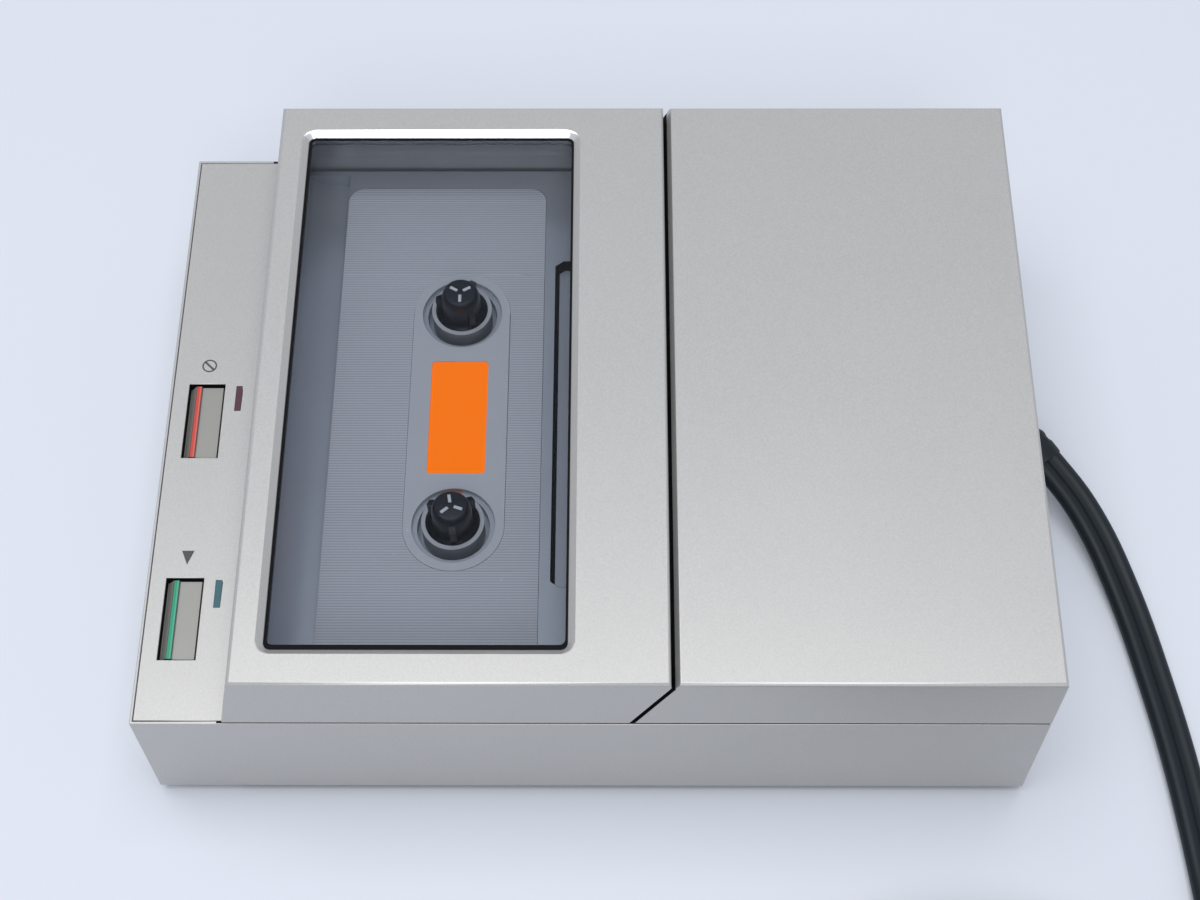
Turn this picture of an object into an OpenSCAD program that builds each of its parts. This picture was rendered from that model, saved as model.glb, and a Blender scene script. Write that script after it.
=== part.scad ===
// Cassette tape eraser and winder: a flat case with a control strip at the front, a hinged
// lid with a smoked window over the cassette well, and a rear cover over the mains parts.
// Millimetres. The front faces -Y, the right side +X, and the feet stand on Z = 0.

/* [Case] */
// Width of the case, left to right
body_w = 113.1; // [110.6:0.5:130.6]
// Depth of the case, front to rear
body_d = 147.5; // [145:0.5:170]
// Height of the lower case's walls
case_h = 27.1; // [26:0.1:34]
// Thickness of the lower case's walls
case_wall = 2.5; // [1.6:0.1:3]
// Gap between the lower case and the pieces above it
seam = 0.6; // [0.3:0.1:1.2]
// Height of the lid and the rear cover above the seam
upper_h = 15.1; // [14.5:0.1:20]
// Width of the bevel along the outer top edges
edge = 0.4; // [0.2:0.1:1]
// Thickness of the rubber feet
foot_t = 1.2; // [0.8:0.1:4]
// Diameter of the rubber feet
foot_d = 12; // [8:0.5:16]
// Thickness of the bottom plate
bottom_t = 2; // [1.5:0.1:3]
// How far the bottom plate stands below the case walls
bottom_drop = 0.8; // [0.2:0.1:1.4]

/* [Control strip] */
// Thickness of the strip's plate
strip_t = 2; // [1.4:0.1:3]
// Width of the case rim that stays round the strip
rim = 0.5; // [0.3:0.1:1]
// Depth of the strip, front to rear
strip_d = 16.8; // [15:0.1:17]
// Length of a button's opening
button_w = 14.9; // [12:0.1:16]
// Depth of a button's opening
button_d = 6.3; // [5:0.1:7]
// Gap between a button and its opening
button_gap = 0.35; // [0.2:0.05:0.5]
// Distance of the buttons' middle line from the front
button_y = 6.4; // [5.5:0.1:6.8]
// Place of the start button, right of the middle
start_x = 37.9; // [30:0.1:40]
// Travel of a button
travel = 1.2; // [0.6:0.1:1.5]
// Length of an indicator lens
lens_w = 5.1; // [3:0.1:8]
// Depth of an indicator lens
lens_d = 1.15; // [0.8:0.05:1.6]
// Distance of the lenses' middle line from the front
lens_y = 12.1; // [11.4:0.1:13]

/* [Lid] */
// Distance of the lid's lower front edge from the front
lid_front = 14.9; // [14:0.1:16]
// How far the lid's front wall leans back
front_rake = 3.1; // [1:0.1:4]
// Thickness of the lid's top
lid_t = 2.5; // [2.2:0.1:3]
// Thickness of the lid's side walls
lid_side = 3; // [2.6:0.1:3.2]
// Thickness of the lid's front wall
lid_front_t = 2.5; // [1.6:0.1:2.8]
// Angle to which the lid opens
open_angle = 60; // [45:1:62]
// Distance of the hinge line below the lid's top
hinge_drop = 1.5; // [1.4:0.05:1.6]
// Distance of the hinge line from the lid's rear edge
hinge_back = 3; // [2.6:0.1:3.4]
// Diameter of a hinge pin
pin_d = 1.5; // [1.2:0.1:1.7]
// Length of a hinge pin inside the lid
pin_bite = 2; // [1.2:0.1:2.3]
// Height of the upright tail edge of the lid
nose_h = 1.5; // [1:0.1:2]

/* [Window] */
// Width of the window opening
window_w = 100.3; // [92:0.1:101]
// Depth of the window opening, front to rear
window_d = 47.4; // [40:0.1:49]
// Distance of the window opening from the front
window_y = 23.05; // [22.5:0.05:24]
// Corner radius of the window opening
window_r = 1; // [0.5:0.1:4]
// Width of the bevel round the window
bevel_w = 1.2; // [0.6:0.1:1.6]
// Depth of the bevel round the window
bevel_h = 1; // [0.5:0.1:1.3]
// Gap between the pane and its opening
pane_gap = 0.35; // [0.25:0.05:0.6]
// How far the pane sits left of the middle of its opening
pane_shift = 0.2; // [0:0.05:0.2]
// How far the pane lies below the lid's top
pane_drop = 1; // [0.4:0.1:1.4]
// Thickness of the pane's hidden flange
flange_t = 0.8; // [0.5:0.1:1]
// Width of the pane's hidden flange beyond the opening
flange_w = 2.4; // [1.5:0.1:2.5]
// Thickness of the seal between the pane and the lid
seal_t = 0.3; // [0.2:0.1:0.5]

/* [Rear cover] */
// Distance of the cover's upper front edge from the front
cover_front = 87.9; // [87.5:0.1:90]
// How far the cover's front face leans back
rear_rake = 7; // [6:0.1:8]
// Gap between the sloping faces of the lid and the cover
rear_gap = 0.7; // [0.5:0.05:1]
// Thickness of the cover's walls
cover_t = 2.5; // [1.8:0.1:3]

/* [Cassette] */
// Width of a cassette
tape_w = 100.4; // [100.4:0.1:101]
// Thickness of a cassette at its hubs
tape_t = 8.7; // [8.5:0.1:9]
// Thickness of a cassette at its open edge
tape_edge_t = 12; // [11.8:0.1:12.2]
// Distance between a cassette's hubs
hub_gap = 42.5; // [42.3:0.1:42.7]
// Distance from the hubs to a cassette's open edge
open_edge = 34.6; // [34.4:0.1:34.8]

/* [Deck] */
// Distance of the hub line from the front
hub_y = 50.7; // [50:0.1:51]
// Height of the deck above the lower case's rim
deck_rise = 1.3; // [0.8:0.1:2]
// Thickness of the deck
deck_t = 2; // [1.6:0.1:2.6]
// Gap between the deck and the lid's inner walls
deck_gap = 0.45; // [0.3:0.05:0.8]
// Depth of the finger scoop
scoop_h = 3.4; // [2:0.1:4]
// Length of the finger scoop, front to rear
scoop_d = 8.9; // [7:0.1:9.2]
// Distance of the ribbed plate from the front
plate_y = 28.9; // [28:0.1:30]
// Depth of the ribbed plate, front to rear
plate_d = 36.3; // [34:0.1:36.8]
// Width of the ribbed plate
plate_w = 98.2; // [90:0.2:99]
// Thickness of the ribbed plate
plate_t = 0.8; // [0.5:0.1:1.2]
// Corner radius of the ribbed plate
plate_r = 3; // [1:0.1:5]
// Depth of the recess for a cassette's thick edge
step_h = 2; // [1.8:0.1:2.4]
// Width of that recess at its front
step_w = 63.4; // [62.5:0.1:66]
// Distance of that recess from the front
step_y = 67.1; // [66.8:0.1:68]
// Diameter of the smooth surround's round ends
surround_d = 17.1; // [16.4:0.1:19]
// Diameter of a spindle well
well_d = 14.1; // [12.6:0.1:14.4]
// Depth of a spindle well
well_h = 3; // [2.4:0.1:3.4]
// Width of the ledge inside a spindle well
well_ledge = 0.9; // [0.3:0.1:1]
// Length of the orange backing plate, left to right
backing_w = 22.4; // [16:0.1:24]
// Depth of the orange backing plate, front to rear
backing_d = 9.8; // [7:0.1:11]

/* [Spindles] */
// Diameter across a spindle's fins
spindle_d = 8.8; // [7.2:0.1:9]
// Height of a spindle above the deck
spindle_h = 7; // [5:0.1:8]
// Diameter of a spindle's core
core_d = 6.8; // [5:0.1:7]
// Outer diameter of the grey collar round a spindle's foot
collar_d = 10.6; // [10.2:0.1:11.6]
// How far that collar stands above the deck
collar_rise = 1.5; // [0.5:0.1:1.8]
// Thickness of that collar
collar_t = 0.7; // [0.5:0.1:0.8]
// Diameter of a spindle shaft
shaft_d = 2.4; // [2:0.1:3]
// Wall of the bearing tube round a shaft
bearing_wall = 1.7; // [1:0.1:2]
// Running clearance between a shaft and its bearing, on the radius
running = 0.05; // [0.02:0.01:0.1]

/* [Drive] */
// Diameter of the take-up pulley where the belt runs
takeup_d = 26; // [20:0.5:30]
// Diameter of the motor pulley where the belt runs
motor_pulley_d = 10; // [8:0.5:12]
// Thickness of the belt
belt_t = 1.2; // [0.8:0.1:1.6]
// Diameter of the motor
motor_d = 27; // [24:0.5:28]
// Height of the motor
motor_h = 20; // [16:0.5:22]
// Place of the motor, right of the middle
motor_x = 30; // [26:0.5:34]
// Distance of the motor from the front
motor_y = 108; // [106:0.5:110]
// Thickness of the chassis plate
chassis_t = 1.2; // [0.8:0.1:2]
// Height of the chassis plate above the bottom plate
chassis_rise = 12.8; // [12.5:0.1:13.5]
// Diameter of the supply drum
drum_d = 20; // [14:0.5:24]

/* [Mains parts] */
// Width of the transformer's core
core_w = 35; // [28:0.5:36]
// Depth of the transformer's core
core_depth = 30; // [24:0.5:32]
// Height of the transformer's core
core_h = 29; // [24:0.5:32]
// Length of the main board, front to rear
board_d = 46; // [40:0.5:46]
// Width of the main board
board_w = 44; // [40:0.5:46]
// Thickness of the circuit boards
board_t = 1.6; // [1:0.1:2]
// Width of the flat twin lead
lead_w = 6.2; // [6.2:0.1:6.2]
// Thickness of the flat twin lead
lead_t = 3.1; // [3.1:0.1:3.1]

/* [Hidden] */
$fn = 48;
eps = 0.01;

// heights
bottom_z = foot_t;
case_z = bottom_z + bottom_drop;
floor_z = bottom_z + bottom_t;
rim_z = case_z + case_h;
seam_z = rim_z + seam;
top_z = seam_z + upper_h;
lid_under = top_z - lid_t;
cover_under = top_z - cover_t;
strip_under = rim_z - strip_t;
deck_z = rim_z + deck_rise;
deck_under = deck_z - deck_t;
chassis_z = floor_z + chassis_rise;
chassis_top = chassis_z + chassis_t;

// places from the front
function y_at(v) = v - body_d / 2;
rear_y = y_at(body_d);
inner_w = body_w - 2 * case_wall;
lid_inner = body_w / 2 - lid_side;
cover_inner = body_w / 2 - cover_t;

// sloping faces of the lid and the rear cover
lean = rear_rake / upper_h;
front_lean = front_rake / upper_h;
function cover_face(z) = y_at(cover_front) - lean * (top_z - z);
function lid_tail(z) = cover_face(min(z, top_z - nose_h)) - rear_gap;
function lid_nose(z) = y_at(lid_front) + front_lean * (z - seam_z);

// cassette bay
bay_clear = 0.8;
bay_half = tape_w / 2 + bay_clear;
edge_y = y_at(hub_y + open_edge);
tape_top = deck_z + (tape_t + tape_edge_t) / 2;
mouth_z = tape_top + 0.85;

// hinge
pivot_y = lid_tail(top_z) - hinge_back;
pivot_z = top_z - hinge_drop;
ear_wall = 0.3;
ear_clear = 0.15;
ear_r = pin_d / 2 + ear_wall;
bracket_t = 1.5;
bracket_gap = 0.2;
bracket_side = 1.05;
bracket_x = lid_inner - bracket_side;
bracket_in = bracket_x - bracket_t;
shoulder_z = pivot_z - 3.8;
mouth_half = bracket_x + bracket_gap;

// deck pieces
deck_half = lid_inner - deck_gap;
deck_front = y_at(strip_d + 0.9);
deck_back = cover_front + 2.6;
deck_rear = y_at(deck_back);
wall_t = 2;
well_floor = deck_z - well_h;
scoop_r = (pow(scoop_d, 2) + pow(scoop_h, 2)) / (2 * scoop_h);
step_flare = 1.1;
step_corner = 1.5;
fit = 0.05;

// spindles
bearing_r = shaft_d / 2 + bearing_wall;
hub_x = hub_gap / 2;
pulley_z = chassis_z - 6.5;
pulley_h = 5;
flange_over = 1.5;
groove_clear = 0.1;

// case screws and their bosses
screw_x = body_w / 2 - 6.6;
screw_front = 8;
screw_rear = body_d - screw_front;
boss_r = 3.5;
screw_r = 1.4;
pilot = 0.06;
head_r = 2.7;
head_h = 1.2;
foot_x = body_w / 2 - 14.55;
foot_ys = [17, body_d - 17.5];
post_x = body_w / 2 - 14.55;
post_edge = 4;
post_r = 3;
ledge_w = 6.05;
ledge_d = 4;

// mains lead: each row of the route is x, distance behind the case, height and roll of the flat section
gland_x = -14;
gland_z = 12;
pocket_d = 10.7;
boot_bend = 25;
boot_turn = 53;
boot_fall = 4;
lead_route = [
    [-4, 9.25, 8, 0], [2.5, 14.25, 6, 0], [10, 18.25, 4, 0], [18.5, 21.25, 2.5, 0], [27, 23.45, 1.8, 0],
    [36, 25.15, 1.6, 0], [45, 26.65, 1.6, 0], [54, 27.85, 1.6, 0], [63, 28.75, 1.6, 0],
    [72, 29.45, 1.6, 0], [81, 29.95, 2, 15], [90, 30.25, 2.5, 35], [99, 30.25, 2.9, 55],
    [108, 30.25, 3.1, 75], [117, 30.25, 3.15, 90], [127, 30.25, 3.15, 90]
];
coil_x = 127;
coil_y = rear_y - 11.75;
coil_r = 42;
coil_step = 3.6;
coil_rise = 6.7;
turns_in = 3.5;
turns_out = 3.75;
turn_rings = 24;
plug_x = coil_x + coil_r - coil_step * (turns_in - turns_out);
plug_z = 3.15 + coil_rise;
plug_y = coil_y - lead_w;

// ---- helpers ----

// a rounded rectangle, centred
module rounded(w, d, r) {
    square([w - 2 * r, d], center = true);
    square([w, d - 2 * r], center = true);
    for (x = [-1, 1], y = [-1, 1])
        translate([x * (w / 2 - r), y * (d / 2 - r)]) circle(r);
}

// an outline in Y and Z, extruded across the width w about X = 0
module across(w) {
    rotate([90, 0, 90]) translate([0, 0, -w / 2]) linear_extrude(w) children();
}

// an outline in X and Z, extruded through a depth about a middle
module along(depth = 2 * body_d, middle = 0) {
    rotate([90, 0, 0]) translate([0, 0, -middle - depth / 2]) linear_extrude(depth) children();
}

// a block between two corners
module block(low, high) {
    translate(low) cube(high - low);
}

module both_sides() {
    children();
    mirror([1, 0, 0]) children();
}

// a screw whose head sits below z = 0 and whose shank rises
module screw(length, r = screw_r) {
    translate([0, 0, -head_h]) cylinder(r = r * 1.9, h = head_h);
    translate([0, 0, -eps]) cylinder(r = r, h = length + eps);
}

// the outline that bevels both top side edges
module beveled_section(high) {
    polygon([
        [-body_w / 2, -10], [body_w / 2, -10], [body_w / 2, high - edge], [body_w / 2 - edge, high],
        [edge - body_w / 2, high], [-body_w / 2, high - edge]
    ]);
}

// ---- sweeping a section along a route ----

function unit(v) = v / norm(v);
function place(row) = [row[0], rear_y + row[1], row[2]];
function heading(points, i) =
    unit(points[min(i + 1, len(points) - 1)] - points[max(i - 1, 0)]);
// the ring of a section at a point, standing square to a direction and rolled
function ring(at, ahead, roll, section) =
    let (side = unit(cross(ahead, [0, 0, 1])), up = cross(side, ahead))
    [for (p = section)
        at + side * (p[0] * cos(roll) - p[1] * sin(roll)) + up * (p[0] * sin(roll) + p[1] * cos(roll))];

// rings joined into one closed tube of triangles
module tube(rings) {
    sides = len(rings[0]);
    last = len(rings) - 1;
    polyhedron(
        points = [for (r = rings, p = r) p],
        faces = concat(
            [for (i = [0:last - 1], j = [0:sides - 1])
                [i * sides + j, i * sides + (j + 1) % sides, (i + 1) * sides + j]],
            [for (i = [0:last - 1], j = [0:sides - 1])
                [i * sides + (j + 1) % sides, (i + 1) * sides + (j + 1) % sides, (i + 1) * sides + j]],
            [for (j = [1:sides - 2]) [0, j + 1, j]],
            [for (j = [1:sides - 2]) [last * sides, last * sides + j, last * sides + j + 1]]
        ),
        convexity = 20
    );
}

// ---- case ----

module screw_spots() {
    for (x = [-1, 1]) {
        translate([x * screw_x, y_at(screw_front), 0]) children();
        translate([x * screw_x, y_at(screw_rear), 0]) children();
    }
}

module lower_case() color([0.68, 0.69, 0.68]) {
    strip_boss_top = strip_under;
    difference() {
        union() {
            difference() {
                block([-body_w / 2, -body_d / 2, case_z], [body_w / 2, body_d / 2, rim_z]);
                block([-inner_w / 2, y_at(case_wall), case_z - 1],
                      [inner_w / 2, rear_y - case_wall, rim_z + 1]);
            }
            for (x = [-1, 1]) {
                // screw bosses, with a web to the side wall
                for (y = [screw_front, screw_rear]) {
                    translate([x * screw_x, y_at(y), floor_z])
                        cylinder(r = boss_r, h = strip_boss_top - floor_z);
                    block([min(x * screw_x, x * (inner_w / 2 + eps)), y_at(y) - 1, floor_z],
                          [max(x * screw_x, x * (inner_w / 2 + eps)), y_at(y) + 1, strip_boss_top]);
                }
                // ledges that carry the deck
                for (y = ledge_ys)
                    block([min(x * (inner_w / 2 - ledge_w), x * (inner_w / 2 + eps)), y_at(y) - ledge_d / 2, floor_z + 12],
                          [max(x * (inner_w / 2 - ledge_w), x * (inner_w / 2 + eps)), y_at(y) + ledge_d / 2, deck_under]);
            }
            // walls of the pocket that the lead leaves through
            block([gland_x - 8.5, rear_y - pocket_d - 1.5, gland_z - 6.5],
                  [gland_x + 10.5, rear_y - eps, gland_z + 6.5]);
        }
        // seat of the control strip
        block([rim - body_w / 2, y_at(rim), strip_under],
              [body_w / 2 - rim, y_at(rim + strip_d + 0.1), rim_z + 1]);
        for (y = [screw_front, screw_rear], x = [-1, 1])
            translate([x * screw_x, y_at(y), floor_z - 1])
                cylinder(r = screw_r + pilot, h = case_h);
        block([gland_x - 7, rear_y - pocket_d, gland_z - 5], [gland_x + 9, rear_y + 1, gland_z + 5]);
        translate([gland_x, rear_y, gland_z]) rotate([90, 0, 0]) cylinder(r = 3.6, h = pocket_d + 5);
    }
}

module bottom_plate() color([0.16, 0.16, 0.17]) {
    difference() {
        block([0.3 - inner_w / 2, y_at(case_wall + 0.3), bottom_z],
              [inner_w / 2 - 0.3, rear_y - case_wall - 0.3, floor_z]);
        screw_spots() {
            translate([0, 0, bottom_z - 1]) cylinder(r = screw_r + 0.2, h = bottom_t + 2);
            translate([0, 0, bottom_z - 1]) cylinder(r = head_r + 0.3, h = 1 + head_h + 0.2);
        }
        // ventilation slots under the transformer
        for (i = [0:5])
            translate([trafo_x, y_at(trafo_y) + 5 * i - 15.25, bottom_z - 1])
                linear_extrude(bottom_t + 2) rounded(24, 1.6, 0.7);
    }
    // pillars for the main board
    for (x = board_pillar_xs, y = board_pillar_ys)
        translate([x, y_at(y), floor_z - eps]) cylinder(r = 2, h = board_lift + eps);
}

module rubber_feet() color([0.06, 0.06, 0.06]) {
    for (x = [-foot_x, foot_x], y = foot_ys)
        translate([x, y_at(y), 0]) rotate_extrude() polygon([
            [0, 0], [foot_d / 2 - 0.4, 0], [foot_d / 2, 0.4], [foot_d / 2, bottom_z], [0, bottom_z]
        ]);
}

module case_screws() color([0.62, 0.62, 0.6]) {
    seat = bottom_z + head_h + 0.2;
    for (x = [-1, 1]) {
        translate([x * screw_x, y_at(screw_front), seat]) cross_screw(18, screw_r, head_r);
        translate([x * screw_x, y_at(screw_rear), seat]) cross_screw(strip_under - seat + 10, screw_r, head_r);
    }
}

// a round-headed screw with a cross slot, standing head down with its seat at z = 0
module cross_screw(length, r, head) {
    difference() {
        union() {
            translate([0, 0, -head_h]) cylinder(r = head, h = head_h);
            translate([0, 0, -eps]) cylinder(r = r, h = length + eps);
        }
        for (a = [0, 90])
            rotate([0, 0, a]) block([-head * 0.6, -0.3, -head_h - 1], [head * 0.6, 0.3, -head_h + 0.7]);
    }
}

// ---- control strip ----

button_xs = [0, start_x];
cap_gap = 0.3;
board_posts = [start_x - 23.9, start_x - 13.9];
post_wall = 1.4;
post_bore = 0.8;
switch_h = 4;
plunger_h = 0.9;
switch_board_top = strip_under - 10.5;
plunger_top = switch_board_top + switch_h + plunger_h;
cap_flange_t = 1.2;
cap_under = strip_under - 0.2 - cap_flange_t;
lens_x = button_w / 2 - 0.4 - lens_w / 2;

module control_panel() color([0.8, 0.81, 0.81]) {
    difference() {
        block([rim + 0.1 - body_w / 2, y_at(rim + 0.1), strip_under],
              [body_w / 2 - rim - 0.1, y_at(rim + strip_d), rim_z]);
        for (x = button_xs)
            block([x - button_w / 2, y_at(button_y) - button_d / 2, strip_under - 1],
                  [x + button_w / 2, y_at(button_y) + button_d / 2, rim_z + 1]);
        for (x = button_xs)
            block([x - lens_x - lens_w / 2, y_at(lens_y) - lens_d / 2, strip_under - 1],
                  [x - lens_x + lens_w / 2, y_at(lens_y) + lens_d / 2, rim_z + 1]);
    }
    for (x = board_posts)
        translate([x, y_at(button_y), switch_board_top]) difference() {
            cylinder(r = post_bore + post_wall, h = strip_under - switch_board_top + eps);
            translate([0, 0, -1]) cylinder(r = post_bore, h = strip_under - switch_board_top - strip_t);
        }
}

// the cap: a sloping front, a ridge with a groove for the stripe, a flat rear, a flange below
module button_cap() {
    half = button_d / 2 - button_gap;
    ridge = rim_z - cap_gap;
    difference() {
        union() {
            across(button_w - 2 * button_gap) polygon([
                [-half, cap_under], [half, cap_under], [half, ridge - 0.4],
                [-half + 1.9, ridge - 0.4], [-half + 1.9, ridge], [-half + 0.9, ridge],
                [-half, ridge - 1.1]
            ]);
            block([-button_w / 2 - 0.8, -button_d / 2 - 0.4, cap_under],
                  [button_w / 2 + 0.8, button_d / 2 + 0.4, cap_under + cap_flange_t]);
            translate([0, 0, plunger_top + travel + 0.1])
                cylinder(r = 1.8, h = cap_under - plunger_top - travel - 0.1 + eps);
        }
        block([-button_w, -half + 0.9, ridge - 0.3], [button_w, -half + 1.9, ridge + 1]);
    }
}

module stripe() {
    half = button_d / 2 - button_gap;
    ridge = rim_z - cap_gap;
    block([button_gap - button_w / 2, -half + 0.9, ridge - 0.3],
          [button_w / 2 - button_gap, -half + 1.9, ridge]);
}

module spring_sleeve() {
    translate([0, 0, switch_board_top + switch_h]) difference() {
        cylinder(r = 2.9, h = cap_under - switch_board_top - switch_h);
        translate([0, 0, -1]) cylinder(r = 2.3, h = strip_under - switch_board_top);
    }
}

module erase_button() color([0.64, 0.64, 0.62]) translate([0, y_at(button_y), 0]) button_cap();
module start_button() color([0.64, 0.64, 0.62]) translate([start_x, y_at(button_y), 0]) button_cap();
module erase_stripe() color([0.82, 0.25, 0.2]) translate([0, y_at(button_y), 0]) stripe();
module start_stripe() color([0.16, 0.62, 0.45]) translate([start_x, y_at(button_y), 0]) stripe();
module erase_spring() color([0.7, 0.7, 0.7]) translate([0, y_at(button_y), 0]) spring_sleeve();
module start_spring() color([0.7, 0.7, 0.7]) translate([start_x, y_at(button_y), 0]) spring_sleeve();

// a lens with a flange that keeps it in the strip
module lens() {
    block([-lens_w / 2 + 0.05, -lens_d / 2 + 0.05, strip_under - eps],
          [lens_w / 2 - 0.05, lens_d / 2 - 0.05, rim_z]);
    block([-lens_w / 2 - 0.6, -lens_d / 2 - 0.4, strip_under - 0.8],
          [lens_w / 2 + 0.6, lens_d / 2 + 0.4, strip_under]);
}

module erase_lens() color([0.4, 0.1, 0.14]) translate([-lens_x, y_at(lens_y), 0]) lens();
module start_lens() color([0.06, 0.35, 0.37]) translate([start_x - lens_x, y_at(lens_y), 0]) lens();

module switch_board() color([0.55, 0.4, 0.2])
    block([-lens_x - lens_w, y_at(button_y - button_d / 2), switch_board_top - board_t],
          [start_x + button_w / 2 + 0.5, y_at(lens_y + 2.5), switch_board_top]);

module push_switches() color([0.1, 0.1, 0.1]) {
    for (x = button_xs) translate([x, y_at(button_y), switch_board_top]) {
        block([-3, -3, 0], [3, 3, switch_h]);
        cylinder(r = 1.5, h = switch_h + plunger_h);
    }
}

module indicator_lamps() color([0.8, 0.8, 0.78]) {
    for (x = button_xs) translate([x - lens_x, y_at(lens_y), switch_board_top]) {
        cylinder(r = 0.5, h = 5);
        translate([0, 0, 4]) cylinder(r = 1.5, h = strip_under - 0.9 - switch_board_top - 4);
    }
}

// ---- lid ----

window_mid = y_at(window_y + window_d / 2);

// the bevel's flaring outline across an opening of length d about m
module bevel_section(m, d) {
    polygon([
        [m - d / 2, top_z - bevel_h], [m + d / 2, top_z - bevel_h],
        [m + d / 2 + 2 * bevel_w, top_z + bevel_h], [m - d / 2 - 2 * bevel_w, top_z + bevel_h]
    ]);
}

module lid_frame() color([0.8, 0.81, 0.81]) {
    difference() {
        intersection() {
            across(body_w) polygon([
                [lid_nose(seam_z), seam_z], [lid_tail(seam_z), seam_z],
                [lid_tail(top_z), top_z - nose_h], [lid_tail(top_z), top_z - edge],
                [lid_tail(top_z) - edge, top_z], [lid_nose(top_z) + edge, top_z],
                [lid_nose(top_z - edge), top_z - edge]
            ]);
            along() beveled_section(top_z);
        }
        across(2 * lid_inner) polygon([
            [lid_nose(seam_z) + lid_front_t - front_lean, seam_z - 1], [y_at(cover_front), seam_z - 1],
            [y_at(cover_front), lid_under], [lid_nose(lid_under) + lid_front_t, lid_under]
        ]);
        translate([0, window_mid, lid_under - 1])
            linear_extrude(lid_t + 2) rounded(window_w, window_d, window_r);
        // bevel round the opening, a cone at each corner
        across(window_w - 2 * window_r) bevel_section(window_mid, window_d);
        along(window_d - 2 * window_r, window_mid) bevel_section(0, window_w);
        for (x = [-1, 1], y = [-1, 1])
            translate([x * (window_w / 2 - window_r), window_mid + y * (window_d / 2 - window_r), top_z - bevel_h])
                cylinder(r1 = window_r, r2 = window_r + 2 * bevel_w, h = 2 * bevel_h);
        both_sides() {
            translate([lid_inner - 1, pivot_y, pivot_z]) rotate([0, 90, 0])
                cylinder(d = pin_d + 2 * running, h = pin_bite + 1);
            // pocket for the bracket's ear through the lid's whole swing
            translate([bracket_in - 0.3, pivot_y, pivot_z]) rotate([90, 0, 90])
                linear_extrude(lid_inner - bracket_in + 0.3) {
                    circle(ear_r + ear_clear);
                    for (a = [0, open_angle]) rotate(a)
                        translate([-ear_r - ear_clear, -8]) square([2 * (ear_r + ear_clear), 8]);
                    polygon([[0, 0], for (a = [0:15:open_angle]) 8 * [sin(a), -cos(a)],
                             8 * [sin(open_angle), -cos(open_angle)]]);
                }
        }
    }
}

module lid_window() color([0.3, 0.33, 0.4, 0.5]) {
    translate([-pane_shift, window_mid, 0]) {
        translate([0, 0, lid_under - seal_t - flange_t]) linear_extrude(flange_t)
            rounded(window_w + 2 * flange_w, window_d + 2 * flange_w, window_r + flange_w);
        translate([0, 0, lid_under - seal_t - eps])
            linear_extrude(lid_t + seal_t - pane_drop + eps)
                rounded(window_w - 2 * pane_gap, window_d - 2 * pane_gap, window_r);
    }
}

module window_seal() color([0.04, 0.04, 0.05]) {
    translate([-pane_shift, window_mid, lid_under - seal_t]) linear_extrude(seal_t) difference() {
        rounded(window_w + 2 * flange_w, window_d + 2 * flange_w, window_r + flange_w);
        rounded(window_w - 2 * pane_gap + 0.1, window_d - 2 * pane_gap + 0.1, window_r);
    }
}

module hinge_brackets() color([0.55, 0.56, 0.57]) {
    both_sides() translate([bracket_in, 0, 0]) rotate([90, 0, 90]) linear_extrude(bracket_t)
        difference() {
            union() {
                translate([pivot_y, pivot_z]) circle(ear_r);
                translate([pivot_y - ear_r, shoulder_z - 1]) square([2 * ear_r, pivot_z - shoulder_z + 1]);
                polygon([
                    [pivot_y - ear_r, deck_z], [deck_rear - 1, deck_z],
                    [deck_rear - 1, shoulder_z - 2], [pivot_y + ear_r, shoulder_z],
                    [pivot_y - ear_r, shoulder_z]
                ]);
            }
            translate([pivot_y, pivot_z]) circle(d = pin_d + 0.02);
        }
}

module hinge_pins() color([0.75, 0.75, 0.76]) {
    both_sides() translate([bracket_in, pivot_y, pivot_z]) rotate([0, 90, 0])
        cylinder(d = pin_d, h = lid_inner - bracket_in + pin_bite - 0.2);
}

module lid_bumpers() color([0.05, 0.05, 0.05]) {
    for (x = [-1, 1])
        translate([x * (body_w / 2 - 1.6), y_at(strip_d + 20), rim_z]) cylinder(r = 0.9, h = seam - 0.05);
}

// ---- rear cover ----

module rear_cover() color([0.8, 0.81, 0.81]) {
    difference() {
        intersection() {
            across(body_w) polygon([
                [cover_face(seam_z), seam_z], [rear_y, seam_z], [rear_y, top_z - edge],
                [rear_y - edge, top_z], [cover_face(top_z), top_z]
            ]);
            along() beveled_section(top_z);
        }
        across(2 * cover_inner) polygon([
            [cover_face(seam_z) + cover_t - lean, seam_z - 1], [rear_y - cover_t, seam_z - 1],
            [rear_y - cover_t, cover_under], [cover_face(cover_under) + cover_t, cover_under]
        ]);
        // mouth over the open edge of the cassette
        block([-mouth_half, cover_face(seam_z) - 1, seam_z - 1],
              [mouth_half, y_at(cover_front) + cover_t, mouth_z]);
    }
    for (x = [-1, 1])
        translate([x * screw_x, y_at(screw_rear), strip_under]) difference() {
            cylinder(r = boss_r, h = cover_under - strip_under + eps);
            translate([0, 0, -1]) cylinder(r = screw_r + pilot, h = 14);
        }
}

// ---- deck ----

module trapezoid(grow, front, rear) {
    w = step_w / 2 + grow;
    polygon([
        [-w, y_at(front)], [w, y_at(front)], [w + step_flare, y_at(front) + step_corner],
        [w + step_flare, rear], [-w - step_flare, rear], [-w - step_flare, y_at(front) + step_corner]
    ]);
}

module surround_outline(d) {
    square([hub_gap, d], center = true);
    for (x = [-hub_x, hub_x]) translate([x, 0]) circle(d = d);
}

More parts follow.
